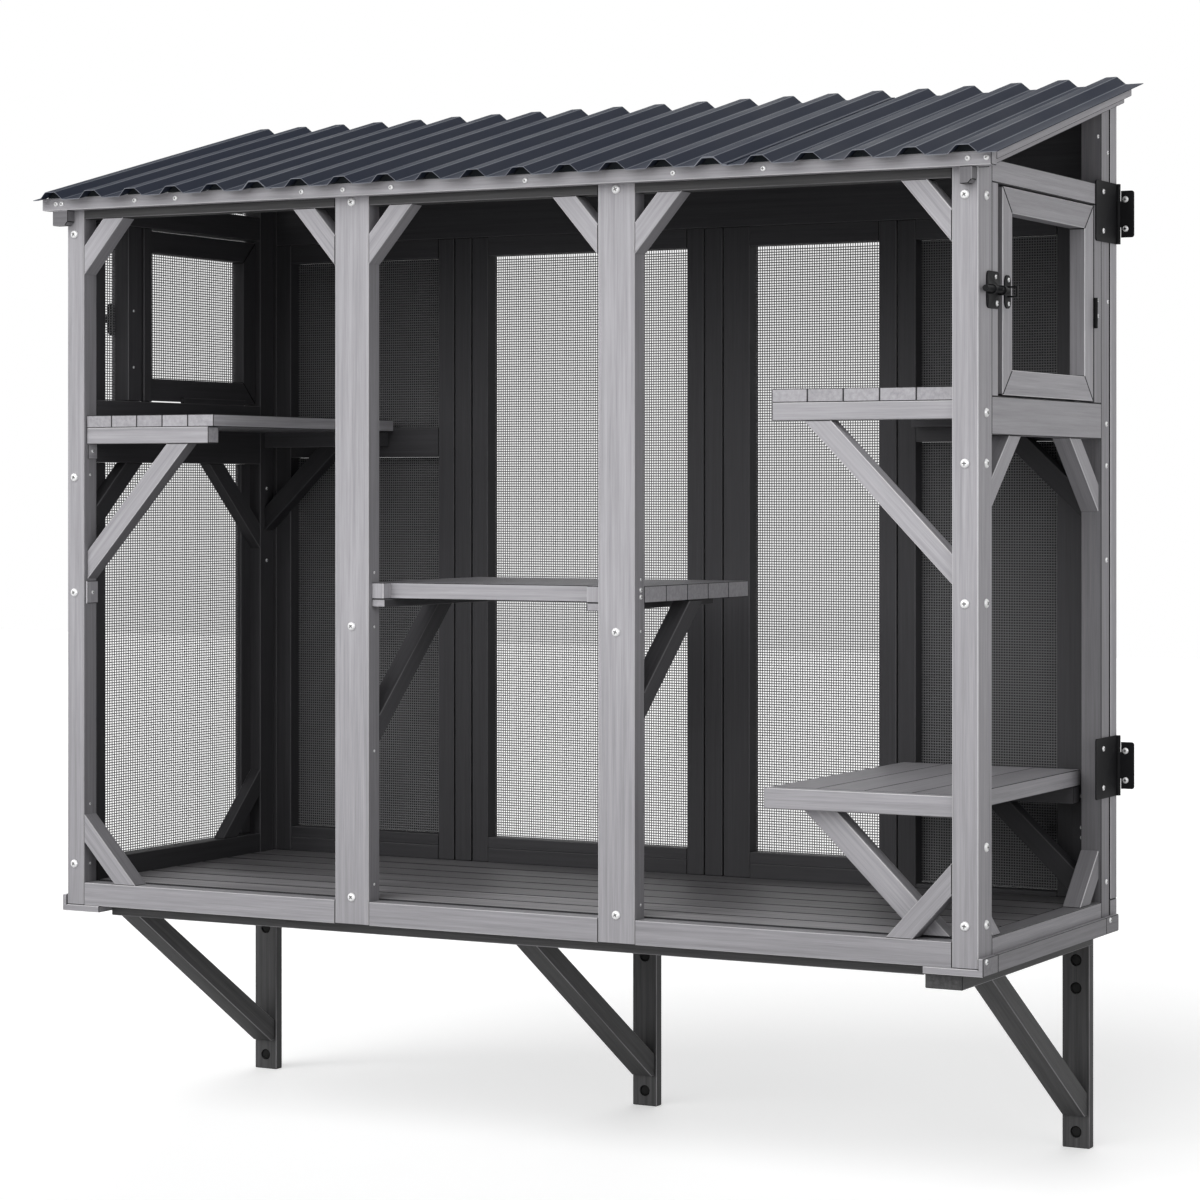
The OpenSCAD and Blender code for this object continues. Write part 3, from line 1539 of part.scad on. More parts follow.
// Screws that hold the frame together, at the heights of the rails behind them
module wood_screws()
    color(screw_colour)
        in_box() {
            post_zs = [brace_screw_z, right_mid_z - 40, right_mid_z - 230, 58];
            left_zs = [brace_screw_z, right_mid_z - 56, right_mid_z - 236, 64];
            for (z = left_zs)
                front_screw(left_post_w * 0.43, z, screw_r, -seat);
            for (z = post_zs)
                front_screw(box_w - right_post_w / 2, z, screw_r, -seat);
            for (x = [mid_left_x, mid_right_x], z = [mid_shelf_z - 65, 41, fascia_z - 7.5])
                front_screw(x + mid_post_w / 2, z, screw_r, -seat);
            for (z = concat(post_zs, [right_mid_z + 29, 163])) {
                side_screw(right_post_d * 0.55, z, screw_r, box_w + seat);
                on_left()
                    side_screw(left_post_d * 0.5, z, screw_r, box_w + seat);
            }
            for (z = [right_mid_z + 22, right_mid_z - 40, right_mid_z - 180, 66]) {
                side_screw(right_back_post_y + right_back_post_w * 0.6, z, small_screw_r,
                           box_w + seat);
                on_left()
                    side_screw(left_back_post_y + left_back_post_w * 0.6, z, small_screw_r,
                               box_w + seat);
            }
            for (z = hinge_zs, s = [-1, 1]) {
                side_screw(wall_pin_y - side_leaf_l * 0.68, z + s * 29, small_screw_r,
                           box_w + 2 * seat + leaf_t);
                on_left()
                    side_screw(wall_pin_y - left_leaf_l * 0.68, z + s * 29, small_screw_r,
                               box_w + 2 * seat + leaf_t);
            }
            for (x = fascia_screws)
                front_screw(x, fascia_z + fascia_h / 2, small_screw_r, -fascia_t - seat);
        }

front_post_left();
front_post_mid_left();
front_post_mid_right();
front_post_right();
front_bottom_rails();
front_top_rails();
front_corner_braces();
fascia_board();
base_side_boards();
base_corner_plates();
floor_bearers();
floor_boards();
bracket_legs();
bracket_arms();
bracket_braces();
right_panel_posts();
right_panel_rails();
right_panel_braces();
left_panel_posts();
left_panel_rails();
left_panel_braces();
left_panel_mesh();
right_door_frame();
right_door_hinge_leaf();
left_door_frame();
left_door_mesh();
left_door_hinge_leaf();
door_hinge_frame_leaves();
hinge_pins();
latch_plates();
right_latch_bolt();
left_latch_bolt();
right_keeper();
left_keeper();
back_frame_posts();
back_frame_rails();
back_mesh_panels();
back_end_boards();
back_header_board();
upper_left_shelf_boards();
upper_right_shelf_boards();
middle_shelf_boards();
lower_shelf_boards();
shelf_rails();
shelf_braces();
rafters();
barge_boards();
roof_sheets_outer();
roof_sheet_middle();
wall_hinge_side_leaves();
upper_right_wall_leaf();
lower_right_wall_leaf();
upper_left_wall_leaf();
lower_left_wall_leaf();
wood_screws();
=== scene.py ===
# %% [markdown]
# # A window box catio
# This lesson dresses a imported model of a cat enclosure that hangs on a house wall. The
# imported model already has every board, sheet, hinge and bolt at its real size, so here we
# give the timber its planed edges and grain, string the fine wire mesh, press the roof
# sheets, set the screws, and light the whole thing. All sizes are in metres: +X runs to
# the right, +Y back to the wall, and +Z up.

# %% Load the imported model
import math
import random

import bmesh
import bpy
import numpy as np
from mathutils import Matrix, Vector


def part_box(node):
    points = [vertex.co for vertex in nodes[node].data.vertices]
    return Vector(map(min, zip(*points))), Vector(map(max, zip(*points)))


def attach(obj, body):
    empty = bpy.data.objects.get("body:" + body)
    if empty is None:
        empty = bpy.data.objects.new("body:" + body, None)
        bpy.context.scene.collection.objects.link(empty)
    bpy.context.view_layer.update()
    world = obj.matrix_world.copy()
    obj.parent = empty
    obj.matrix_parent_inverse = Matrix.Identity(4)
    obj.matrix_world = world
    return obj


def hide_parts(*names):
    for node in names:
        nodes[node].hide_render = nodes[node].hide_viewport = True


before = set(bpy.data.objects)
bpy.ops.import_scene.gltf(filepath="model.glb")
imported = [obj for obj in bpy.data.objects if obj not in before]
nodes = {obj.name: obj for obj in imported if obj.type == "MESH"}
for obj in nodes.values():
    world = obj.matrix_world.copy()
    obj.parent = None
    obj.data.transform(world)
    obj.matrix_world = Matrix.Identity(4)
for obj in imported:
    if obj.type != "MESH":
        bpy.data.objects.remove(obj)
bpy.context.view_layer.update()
scene = bpy.context.scene

# %% [markdown]
# The camera stands in front and to the right, level with the middle of the box. A long
# lens keeps the posts upright, and a small shift down frames the wall brackets without
# tilting the camera, so the posts stay parallel.

# %% Camera
camera_data = bpy.data.cameras.new("camera")
camera_data.sensor_width = 36
camera_data.lens = 99.63
camera_data.shift_x = 0.0005
camera_data.shift_y = -0.0909
camera = bpy.data.objects.new("camera", camera_data)
camera.location = (2.4495, -4.7544, 0.8338)
camera.rotation_euler = (math.radians(90), 0, math.radians(28.127))
scene.collection.objects.link(camera)
scene.camera = camera
scene.view_settings.view_transform = "Standard"
print("camera at", tuple(round(c, 2) for c in camera.location))

# %% [markdown]
# A node tree is easier to read when each node is one line of code. The first helper adds
# a node with its settings and inputs: an input that is given as a socket is linked, and
# any other value is set on the node. The second adds a Math node and hands on its result,
# and the third opens a node group with named sockets.


# %% Helpers for node trees
def add(tree, kind, inputs=None, **settings):
    node = tree.nodes.new(kind)
    for key, value in settings.items():
        setattr(node, key, value)
    for key, value in (inputs or {}).items():
        if isinstance(value, bpy.types.NodeSocket):
            tree.links.new(value, node.inputs[key])
        else:
            node.inputs[key].default_value = value
    return node


def maths(tree, operation, a, b=0.0, c=0.0):
    return add(tree, "ShaderNodeMath", {0: a, 1: b, 2: c}, operation=operation).outputs[0]


def open_group(name, kind, inputs, outputs):
    """A node group whose sockets are given as name: (socket type, default)."""
    tree = bpy.data.node_groups.new(name, kind)
    for socket, (form, value) in inputs.items():
        form = "NodeSocket" + form
        made = tree.interface.new_socket(socket, in_out="INPUT", socket_type=form)
        if value is not None:
            made.default_value = value
    for socket, form in outputs.items():
        tree.interface.new_socket(socket, in_out="OUTPUT", socket_type="NodeSocket" + form)
    entry = tree.nodes.new("NodeGroupInput")
    leave = tree.nodes.new("NodeGroupOutput")
    return tree, entry.outputs, leave.inputs


print("helpers ready")

# %% [markdown]
# Every board of the real box is planed softwood under a grey stain. The stain sinks in
# unevenly, so it shows soft streaks along each board and finer pores between them. The
# pattern must follow each board, whichever way it runs, so it reads an attribute that
# holds a place along, across and through the board. The group also puts out a factor that
# darkens each place the lower it stands. We make it one group, because the outside stain,
# the dark boards and the paler edges with their painted highlight all use it.

# %% Group: grain
grain, g_in, g_out = open_group(
    "Grain", "ShaderNodeTree",
    {"Along": ("Float", 5.0), "Across": ("Float", 120.0), "Strength": ("Float", 0.5)},
    {"Streak": "Float", "Pores": "Float", "Tone": "Float", "Weather": "Float"},
)
place = add(grain, "ShaderNodeAttribute", attribute_name="grain").outputs["Vector"]
stretch = add(grain, "ShaderNodeCombineXYZ",
              {"X": g_in["Along"], "Y": g_in["Across"], "Z": g_in["Across"]})
wide = add(grain, "ShaderNodeVectorMath",
           {0: place, 1: stretch.outputs[0]}, operation="MULTIPLY").outputs[0]
streak = add(grain, "ShaderNodeTexNoise",
             {"Vector": wide, "Scale": 1.0, "Detail": 5.0, "Roughness": 0.6})
fine = add(grain, "ShaderNodeVectorMath",
           {0: wide, 1: (4.0, 5.0, 5.0)}, operation="MULTIPLY").outputs[0]
pores = add(grain, "ShaderNodeTexNoise",
            {"Vector": fine, "Scale": 1.0, "Detail": 3.0, "Roughness": 0.7})
centred = maths(grain, "SUBTRACT", streak.outputs[0], 0.5)
scaled = maths(grain, "MULTIPLY", centred, g_in["Strength"])
grain.links.new(maths(grain, "ADD", scaled, 0.5), g_out["Streak"])
grain.links.new(pores.outputs[0], g_out["Pores"])
tone = add(grain, "ShaderNodeAttribute", attribute_name="tone").outputs["Fac"]
grain.links.new(tone, g_out["Tone"])
point = add(grain, "ShaderNodeTexCoord").outputs["Object"]
height = add(grain, "ShaderNodeSeparateXYZ", {0: point}).outputs["Z"]
# A factor that darkens each place the lower it stands.
height_tint = add(grain, "ShaderNodeMapRange",
              {"Value": height, "From Min": 0.15, "From Max": 0.7, "To Min": 0.76})
grain.links.new(height_tint.outputs[0], g_out["Weather"])
print("grain group:", len(grain.nodes), "nodes")

# %% [markdown]
# Coated metal outdoors is never quite clean. A thin film of dust lies on it in soft
# patches and makes it a little paler and duller. The mesh, the hinges and the roof share
# this group.

# %% Group: dust
dust, d_in, d_out = open_group(
    "Dust", "ShaderNodeTree",
    {"Scale": ("Float", 9.0), "Amount": ("Float", 0.3)}, {"Mask": "Float", "Speckle": "Float"},
)
spot = add(dust, "ShaderNodeTexCoord").outputs["Object"]
cloud = add(dust, "ShaderNodeTexNoise", {"Vector": spot, "Scale": d_in["Scale"], "Detail": 6.0})
dust.links.new(maths(dust, "MULTIPLY", cloud.outputs[0], d_in["Amount"]), d_out["Mask"])
speck = add(dust, "ShaderNodeTexNoise", {"Vector": spot, "Scale": 900.0, "Detail": 2.0})
dust.links.new(speck.outputs[0], d_out["Speckle"])
print("dust group:", len(dust.nodes), "nodes")


# %% [markdown]
# The stain itself is a Principled material. The streak mixes a darker and a lighter grey,
# and each board's own tone and its height shift it slightly. An attribute marks the faces
# that look into the box, the undersides and other places in shade, and there the stain is
# multiplied by a darker colour as painted shade. The pores give a faint bump.


# %% Material: stained timber
def mix_colour(tree, factor, a, b, blend="MIX"):
    """Mixes two colours. The colour sockets of a Mix node are its inputs 6 and 7."""
    sockets = {0: factor, 6: a, 7: b}
    return add(tree, "ShaderNodeMix", sockets, data_type="RGBA", blend_type=blend).outputs[2]


def rgb(r, g, b):
    return (r, g, b, 1.0)


def grey(level):
    return rgb(level, level, level)


def timber(name, dark, light, shade, rough=0.55, strength=1.5, bump=0.3, spread=0.14):
    material = bpy.data.materials.new(name)
    material.use_nodes = True
    tree = material.node_tree
    surface = tree.nodes["Principled BSDF"]
    group = add(tree, "ShaderNodeGroup",
                {"Strength": strength, "Across": 170.0, "Along": 4.0}, node_tree=grain)
    fibre = maths(tree, "MULTIPLY_ADD", group.outputs["Pores"], 0.8, -0.4)
    stain = mix_colour(tree, maths(tree, "ADD", group.outputs["Streak"], fibre), dark, light)
    lift = maths(tree, "MULTIPLY_ADD", group.outputs["Tone"], spread, 1.0 - spread / 2)
    stain = mix_colour(tree, 1.0, stain, lift, "MULTIPLY")
    stain = mix_colour(tree, 1.0, stain, group.outputs["Weather"], "MULTIPLY")
    # This attribute holds how much painted shade a face gets: there the stain is multiplied by the
    # shade colour.
    inside = add(tree, "ShaderNodeAttribute", attribute_name="inside").outputs["Fac"]
    stain = mix_colour(tree, inside, stain, mix_colour(tree, 1.0, stain, shade, "MULTIPLY"))
    tree.links.new(stain, surface.inputs["Base Color"])
    dull = maths(tree, "MULTIPLY_ADD", group.outputs["Streak"], 0.2, rough - 0.1)
    tree.links.new(dull, surface.inputs["Roughness"])
    height = maths(tree, "ADD", group.outputs["Streak"], group.outputs["Pores"])
    relief = add(tree, "ShaderNodeBump",
                 {"Height": height, "Strength": bump, "Distance": 0.0006})
    tree.links.new(relief.outputs[0], surface.inputs["Normal"])
    surface.inputs["Specular IOR Level"].default_value = 0.18
    return material


grey_stain = timber(
    "grey stain", rgb(0.255, 0.25, 0.265), rgb(0.44, 0.43, 0.455), rgb(0.07, 0.07, 0.073))
# The paler colour for the planed edges is a painted highlight.
edge_highlight = timber(
    "edge highlight", rgb(0.50, 0.49, 0.51), rgb(0.72, 0.71, 0.73), rgb(0.09, 0.09, 0.093))
floor_stain = timber(
    "floor stain", rgb(0.125, 0.122, 0.128), rgb(0.43, 0.42, 0.435), grey(0.35),
    strength=2.2, spread=0.4)
seam = timber("seam", rgb(0.012, 0.012, 0.013), rgb(0.035, 0.035, 0.036), grey(0.3))
# Near black: dark joints, and painted shade on the back end boards.
dark_joint_and_shade = timber("dark joints and painted shade", rgb(0.013, 0.013, 0.015), rgb(0.03, 0.03, 0.033), grey(0.6))
dark_edge = timber("dark edge", rgb(0.035, 0.035, 0.038), rgb(0.06, 0.06, 0.064), grey(0.5))
# A dark stain for the brackets, also used as painted shade on the front top rails.
bracket_stain_and_shade = timber("bracket stain and painted shade", rgb(0.038, 0.038, 0.039), rgb(0.12, 0.119, 0.121), grey(0.5))
print("timber materials:", len(bpy.data.materials))

# %% [markdown]
# The other parts need finishes of their own: black coated hinges and bolts with thin dust
# and paler corners, a coated wire for the mesh, slate coloured roof sheets whose creases and
# cut edges are paler as a painted highlight, dark foam, and bright zinc screws whose recesses
# are painted dark as shade. The dust group dulls them all in soft patches.


# %% Materials: coated metal, foam and zinc
def coated(name, base, dusty, rough, specular=None, metallic=0.0, scale=9.0):
    material = bpy.data.materials.new(name)
    material.use_nodes = True
    tree = material.node_tree
    surface = tree.nodes["Principled BSDF"]
    group = add(tree, "ShaderNodeGroup", {"Scale": scale, "Amount": 1.0}, node_tree=dust)
    colour = mix_colour(tree, group.outputs["Mask"], base, dusty)
    tree.links.new(colour, surface.inputs["Base Color"])
    dull = maths(tree, "MULTIPLY_ADD", group.outputs["Mask"], 0.3, rough - 0.1)
    tree.links.new(dull, surface.inputs["Roughness"])
    relief = add(tree, "ShaderNodeBump",
                 {"Height": group.outputs["Speckle"], "Strength": 0.05, "Distance": 0.0003})
    tree.links.new(relief.outputs[0], surface.inputs["Normal"])
    surface.inputs["Metallic"].default_value = metallic
    if specular is not None:
        surface.inputs["Specular IOR Level"].default_value = specular
    return material


black_metal = coated("black metal", rgb(0.004, 0.004, 0.005), rgb(0.012, 0.012, 0.013), 0.55, 0.1)
metal_edge = coated("pale metal edge", rgb(0.03, 0.03, 0.031), grey(0.07), 0.45, 0.2)
wire_coat = coated("wire coat", rgb(0.10, 0.10, 0.104), rgb(0.17, 0.17, 0.175), 0.55)
roof_coat = coated(
    "roof coat", rgb(0.011, 0.015, 0.027), rgb(0.025, 0.030, 0.047), 0.55, 0.03, scale=5.0)
crease_highlight = coated(
    "roof crease highlight", rgb(0.045, 0.053, 0.072), rgb(0.08, 0.088, 0.11), 0.5, 0.1, scale=5.0)
foam_strip = coated("foam strip", rgb(0.016, 0.019, 0.022), rgb(0.035, 0.04, 0.045), 0.9, 0.05)
roof_front_highlight = coated("roof front highlight", rgb(0.13, 0.14, 0.17), rgb(0.21, 0.22, 0.25), 0.4)
zinc = coated("zinc", rgb(0.72, 0.72, 0.73), grey(0.85), 0.35, metallic=0.4)
recess_shade_black = coated("recess", grey(0.012), grey(0.02), 0.6, 0.05)
recess_shade_grey = coated("grey recess", grey(0.09), grey(0.14), 0.6)
print("materials:", len(bpy.data.materials))

# %% [markdown]
# The imported model stores each node as loose triangles. To dress a node we copy its mesh,
# weld it, and join the triangles that lie flat, which gives clean faces back. Real boards
# have slightly planed edges that catch the light, so every long edge gets a small bevel
# in its own material, paler as a painted highlight. A few small pieces have no node to copy.
# Their places are measured in millimetres from the box's front left foot, and place_at brings them
# here.


# %% Helper: welded and bevelled copies
BOX_WIDTH = 1524
ORIGIN = (737, 560, -187)


def place_at(*point):
    """A point of the box, in millimetres from its front left foot, in the shared frame."""
    return Vector([(value - zero) / 1000 for value, zero in zip(point, ORIGIN)])


def in_box(point):
    """The way back: a point of the shared frame in millimetres of the box."""
    return [value * 1000 + zero for value, zero in zip(point, ORIGIN)]


def welded(node):
    mesh = bmesh.new()
    mesh.from_mesh(nodes[node].data)
    bmesh.ops.remove_doubles(mesh, verts=mesh.verts, dist=0.00002)
    bmesh.ops.dissolve_limit(mesh, angle_limit=0.006, verts=mesh.verts, edges=mesh.edges)
    return mesh


def bevel_edges(mesh, width, shortest=0.003, sharp=0.5):
    edges = []
    for edge in mesh.edges:
        if len(edge.link_faces) == 2 and edge.calc_length() > shortest:
            if edge.calc_face_angle(0) > sharp:
                edges.append(edge)
    bmesh.ops.bevel(mesh, geom=edges, offset=width, segments=1, profile=0.5,
                    affect="EDGES", material=1, clamp_overlap=True)


def islands(mesh):
    seen = set()
    groups = []
    for start in mesh.verts:
        if start in seen:
            continue
        group = [start]
        seen.add(start)
        for vert in group:
            for edge in vert.link_edges:
                other = edge.other_vert(vert)
                if other not in seen:
                    seen.add(other)
                    group.append(other)
        groups.append(group)
    return groups


print("board helpers ready")

# %% [markdown]
# Each board is one island of the mesh. Its longest edge gives the direction of its grain.
# We write each point's place along, across and through its own board into the attribute
# that the grain group reads, with a random start for each board so that no two boards
# show the same streaks. The seed comes from the node's name, so every run is the same.


# %% Helper: grain attributes
def write_grain(mesh, name, shade_rule=None, seams="ends"):
    place = mesh.verts.layers.float_vector.new("grain")
    tone = mesh.verts.layers.float.new("tone")
    inside = mesh.faces.layers.float.new("inside")
    chance = random.Random(name)
    for group in islands(mesh):
        edges = {edge for vert in group for edge in vert.link_edges}
        longest = max(edges, key=lambda edge: round(edge.calc_length(), 6))
        along = (longest.verts[1].co - longest.verts[0].co).normalized()
        helper = Vector((0, 0, 1)) if abs(along.z) < 0.7 else Vector((0, 1, 0))
        across = along.cross(helper).normalized()
        through = along.cross(across)
        start = Vector(chance.uniform(0, 40) for _ in range(3))
        level = chance.random()
        for vert in group:
            spot = Vector((vert.co.dot(along), vert.co.dot(across), vert.co.dot(through)))
            vert[place] = spot + start
            vert[tone] = level
            for face in vert.link_faces:
                if face.material_index == 1:
                    edge = max(face.edges, key=lambda edge: edge.calc_length())
                    way = (edge.verts[1].co - edge.verts[0].co).normalized()
                    if seams == "all" or abs(way.dot(along)) < 0.8:
                        face.material_index = 2
    # Each face gets its amount of painted shade from the shade rule.
    for face in mesh.faces:
        face[inside] = shade_rule(face.normal, face.calc_center_median()) if shade_rule else 0.0


def publish(mesh, name, materials, body, replaced=(), smooth=False):
    data = bpy.data.meshes.new(name)
    mesh.to_mesh(data)
    mesh.free()
    for material in materials:
        data.materials.append(material)
    if smooth:
        data.shade_smooth()
        data.set_sharp_from_angle(angle=math.radians(40))
    piece = bpy.data.objects.new(name, data)
    scene.collection.objects.link(piece)
    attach(piece, body)
    if replaced:
        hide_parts(*replaced)
    return piece


def dress(node, materials, width=0.001, shade_rule=None, seams="ends"):
    mesh = welded(node)
    bevel_edges(mesh, width)
    write_grain(mesh, node, shade_rule, seams)
    return publish(mesh, node + "_dressed", materials, "frame", [node])


print("grain helpers ready")

# %% [markdown]
# Now the timber. The front frame, the sides and the shelves carry the grey stain. The
# back frame and the inner faces of the side panels get painted shade, so that the box
# looks deep, and the small function for each group tells how much painted shade each face gets.

# %% Timber pieces
GREY = [grey_stain, edge_highlight, seam]
DEEP_SHADE = 0.93


def ramp(value, start, run):
    """Climbs from 0 to 1 as the value goes on from its start over its run."""
    return min(max((value - start) / run, 0.0), 1.0)


def left_side(normal, centre):
    """How much painted shade a face of the left side gets: all but the outer faces."""
    return 0.0 if normal.x < -0.5 else DEEP_SHADE


def right_side(normal, centre):
    """The right side gets painted shade: dark within, half dark on its edges and pale outside."""
    near_wall = centre.y > -0.1
    if normal.x > 0.5:
        recessed = centre.x < 0.775
        return 0.6 if recessed else (0.3 if near_wall else 0.0)
    if normal.x < -0.5 or normal.y > 0.5 or centre.y > -0.05:
        return DEEP_SHADE
    return 0.65 if near_wall else 0.4


def back_wall(normal, centre):
    """The back frame is painted dark as shade, but for its two ends and its rear."""
    outer = abs(normal.x) > 0.5 and (centre.x < -0.72 or centre.x > 0.77)
    return 0.0 if normal.y > 0.5 or outer else 0.95


def in_shade(normal, centre):
    """Undersides, whatever stands near the back wall, and the middle shelf's braces get painted
    shade.
    """
    depth = ramp(centre.y, -0.5, 0.12)
    between = 0.87 if abs(centre.x) < 0.3 else 0.0
    return max(depth * 1.02, between, 0.6 if normal.z < -0.5 else 0.0)


def deep_inside(normal, centre):
    """The same for the shelf rails, but for their front ends at the open right side."""
    if normal.x > 0.5 and centre.x > 0.7 and centre.y < -0.4:
        return 0.1
    depth = ramp(centre.y, -0.5, 0.12)
    return max(depth * 0.9, 0.6 if normal.z < -0.5 else 0.0)


def turned_in(normal, centre):
    """The sides of the front posts and braces that face along the box get a little painted shade.
    """
    return 0.33 if normal.x > 0.5 and centre.x < 0.7 else 0.0


def near_ground(normal, centre):
    """The sides of the lowest boards get a little painted shade, and the front less."""
    if centre.z > 0.5:
        return turned_in(normal, centre)
    return 0.28 if abs(normal.x) > 0.5 else 0.04


def under_eaves(normal, centre):
    """The front top rails get painted shade for the fascia's shadow."""
    return 0.55


def floor_depth(normal, centre):
    """The floor darkens towards the back, as painted shade."""
    return 0.8 * ramp(centre.y, -0.45, 0.4)


def shelf_top(normal, centre):
    """Shelf boards get a little painted shade on top, most of all the middle shelf's, and more
    underneath.
    """
    if normal.z > 0.5:
        return 0.5 if 0.6 < centre.z < 0.75 else 0.05
    return 0.6 if normal.z < -0.5 else 0.0


def under_fascia(normal, centre):
    """The two end blocks under the fascia get painted shade, darker than the board itself."""
    return 0.6 if centre.z < 1.2705 else 0.0


plain = {
    "front_post_left": turned_in, "front_post_mid_left": turned_in,
    "front_post_mid_right": turned_in, "front_post_right": None,
    "front_bottom_rails": near_ground, "front_corner_braces": near_ground,
    "fascia_board": under_fascia,
    "base_side_boards": near_ground, "base_corner_plates": near_ground,
    "upper_left_shelf_boards": shelf_top, "upper_right_shelf_boards": shelf_top,
    "middle_shelf_boards": shelf_top, "lower_shelf_boards": shelf_top,
    "barge_boards": None, "shelf_rails": deep_inside, "shelf_braces": in_shade,
    "left_panel_posts": left_side, "left_panel_rails": left_side,
    "left_panel_braces": left_side, "right_panel_posts": right_side,
    "right_panel_rails": right_side, "right_panel_braces": right_side,
    "back_frame_posts": back_wall, "back_frame_rails": back_wall,
    "back_header_board": back_wall,
}
for node, shade_rule in plain.items():
    side_by_side = "boards" in node or node in ("right_panel_posts", "right_panel_rails")
    seams = "all" if side_by_side else "ends"
    dress(node, GREY, shade_rule=shade_rule, seams=seams)
# The front top rails take the dark bracket colour and more painted shade for the fascia's shadow,
# with the floor stain as a painted highlight on their edges.
dress("front_top_rails", [bracket_stain_and_shade, floor_stain, seam], shade_rule=under_eaves)
# The back end boards are painted near black as the shade behind the mesh, with a paler painted
# highlight on their edges.
dress("back_end_boards", [dark_joint_and_shade, dark_edge, dark_joint_and_shade])
dress("floor_boards", [floor_stain, dark_joint_and_shade, dark_joint_and_shade],
      width=0.003, shade_rule=floor_depth, seams="all")
# The floor bearers and the brackets have the floor stain as a painted highlight on their edges.
dress("floor_bearers", [bracket_stain_and_shade, floor_stain, seam])
dress("rafters", [bracket_stain_and_shade, dark_joint_and_shade, dark_joint_and_shade])
for node in ("bracket_legs", "bracket_arms", "bracket_braces"):
    dress(node, [bracket_stain_and_shade, floor_stain, seam])

# %% [markdown]
# The doors are made like picture frames: four boards whose ends are cut at 45 degrees and
# glued. We build each board as a prism with slanted ends, a hair apart so that the joint
# shows as a fine dark line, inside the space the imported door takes.


# %% Mitred doors
def mitred_frame(low, high, stile, rail, gap=0.0005):
    """Four boards around a door that lies in the YZ plane, from its low to its high corner."""
    mesh = bmesh.new()
    outer = [(low.y, low.z), (high.y, low.z), (high.y, high.z), (low.y, high.z)]
    inner = [(low.y + stile, low.z + rail), (high.y - stile, low.z + rail),
             (high.y - stile, high.z - rail), (low.y + stile, high.z - rail)]
    for i in range(4):
        j = (i + 1) % 4
        outline = [outer[i], outer[j], inner[j], inner[i]]
        run = Vector((0, outer[j][0] - outer[i][0], outer[j][1] - outer[i][1]))
        shift = run.normalized() * gap
        rings = []
        for x in (low.x, high.x):
            ring = []
            for n, (y, z) in enumerate(outline):
                step = shift if n in (0, 3) else -shift
                ring.append(mesh.verts.new((x, y + step.y, z + step.z)))
            rings.append(ring)
        mesh.faces.new(rings[0])
        mesh.faces.new(list(reversed(rings[1])))
        for n in range(4):
            m = (n + 1) % 4
            mesh.faces.new((rings[0][m], rings[0][n], rings[1][n], rings[1][m]))
    bmesh.ops.recalc_face_normals(mesh, faces=mesh.faces)
    return mesh


STILE, RAIL = 0.036, 0.035
for side, shade_rule in (("right", right_side), ("left", left_side)):
    node = side + "_door_frame"
    door = mitred_frame(*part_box(node), STILE, RAIL)
    bevel_edges(door, 0.001)
    write_grain(door, node, shade_rule)
    publish(door, node + "_mitred", GREY, side + "_door", [node])

# %% [markdown]
# A thin strip on the sill behind the left door keeps the draught out of most of the gap
# under it, and its inner faces carry painted shade, so the gap reads dark. It is a small
# planed batten like the door stop, and stands clear of the door.

# %% Sill strip
low, high = place_at(24.5, 268, 790.2), place_at(31.5, 448, 799)
sill = bmesh.new()
bmesh.ops.create_cube(sill, size=1.0)
for vert in sill.verts:
    vert.co = Vector((low[i] if vert.co[i] < 0 else high[i] for i in range(3)))
bevel_edges(sill, 0.001)
write_grain(sill, "sill strip", left_side)
publish(sill, "left_sill_strip", GREY, "frame")
print("sill strip from", low, "to", high)

# %% [markdown]
# The mesh is welded wire: upright wires with level wires laid across them. A sheet holds
# hundreds of equal wires, so this is work for Geometry Nodes: one tree lays out the
# uprights and the level wires of a sheet from its width, height, pitch and wire size. A
# gable's top edge climbs with the roof, so the tree takes a slope too: each upright
# grows with its distance along the sheet, and each level wire above the low corner
# starts where the slope lets it.

# %% Geometry Nodes: wire sheet
tree, w_in, w_out = open_group(
    "Wire sheet", "GeometryNodeTree",
    {"Width": ("Float", 0.3), "Height": ("Float", 0.9), "Slope": ("Float", 0.0),
     "Pitch": ("Float", 0.0041), "Column pitch": ("Float", 0.0041), "Wire": ("Float", 0.0012),
     "Coat": ("Material", None)},
    {"Geometry": "Geometry"},
)


def row_of_points(count, start, step):
    made = add(tree, "GeometryNodeMeshLine",
               {"Count": count, "Start Location": start, "Offset": step})
    return made.outputs["Mesh"]


def vector(x=0.0, y=0.0, z=0.0):
    return add(tree, "ShaderNodeCombineXYZ", {"X": x, "Y": y, "Z": z}).outputs[0]


def wires(points, length, thick, turn):
    rod = add(tree, "GeometryNodeMeshCylinder",
              {"Vertices": 6, "Radius": 0.5, "Depth": 1.0}, fill_type="NGON")
    made = add(tree, "GeometryNodeInstanceOnPoints",
               {"Points": points, "Instance": rod.outputs["Mesh"], "Rotation": turn,
                "Scale": vector(thick, thick, length)})
    return made.outputs[0]


def with_reach(points, length):
    """Stores the length of the wire that will stand on each point."""
    return add(tree, "GeometryNodeStoreNamedAttribute",
               {"Geometry": points, "Name": "reach", "Value": length}).outputs[0]


rise = maths(tree, "MULTIPLY", w_in["Slope"], w_in["Width"])
tall = maths(tree, "ADD", w_in["Height"], rise)
half_pitch = maths(tree, "MULTIPLY", w_in["Pitch"], 0.5)
half_column = maths(tree, "MULTIPLY", w_in["Column pitch"], 0.5)
half_wire = maths(tree, "MULTIPLY", w_in["Wire"], 0.45)
here = add(tree, "GeometryNodeInputPosition").outputs[0]
split = add(tree, "ShaderNodeSeparateXYZ", {0: here})

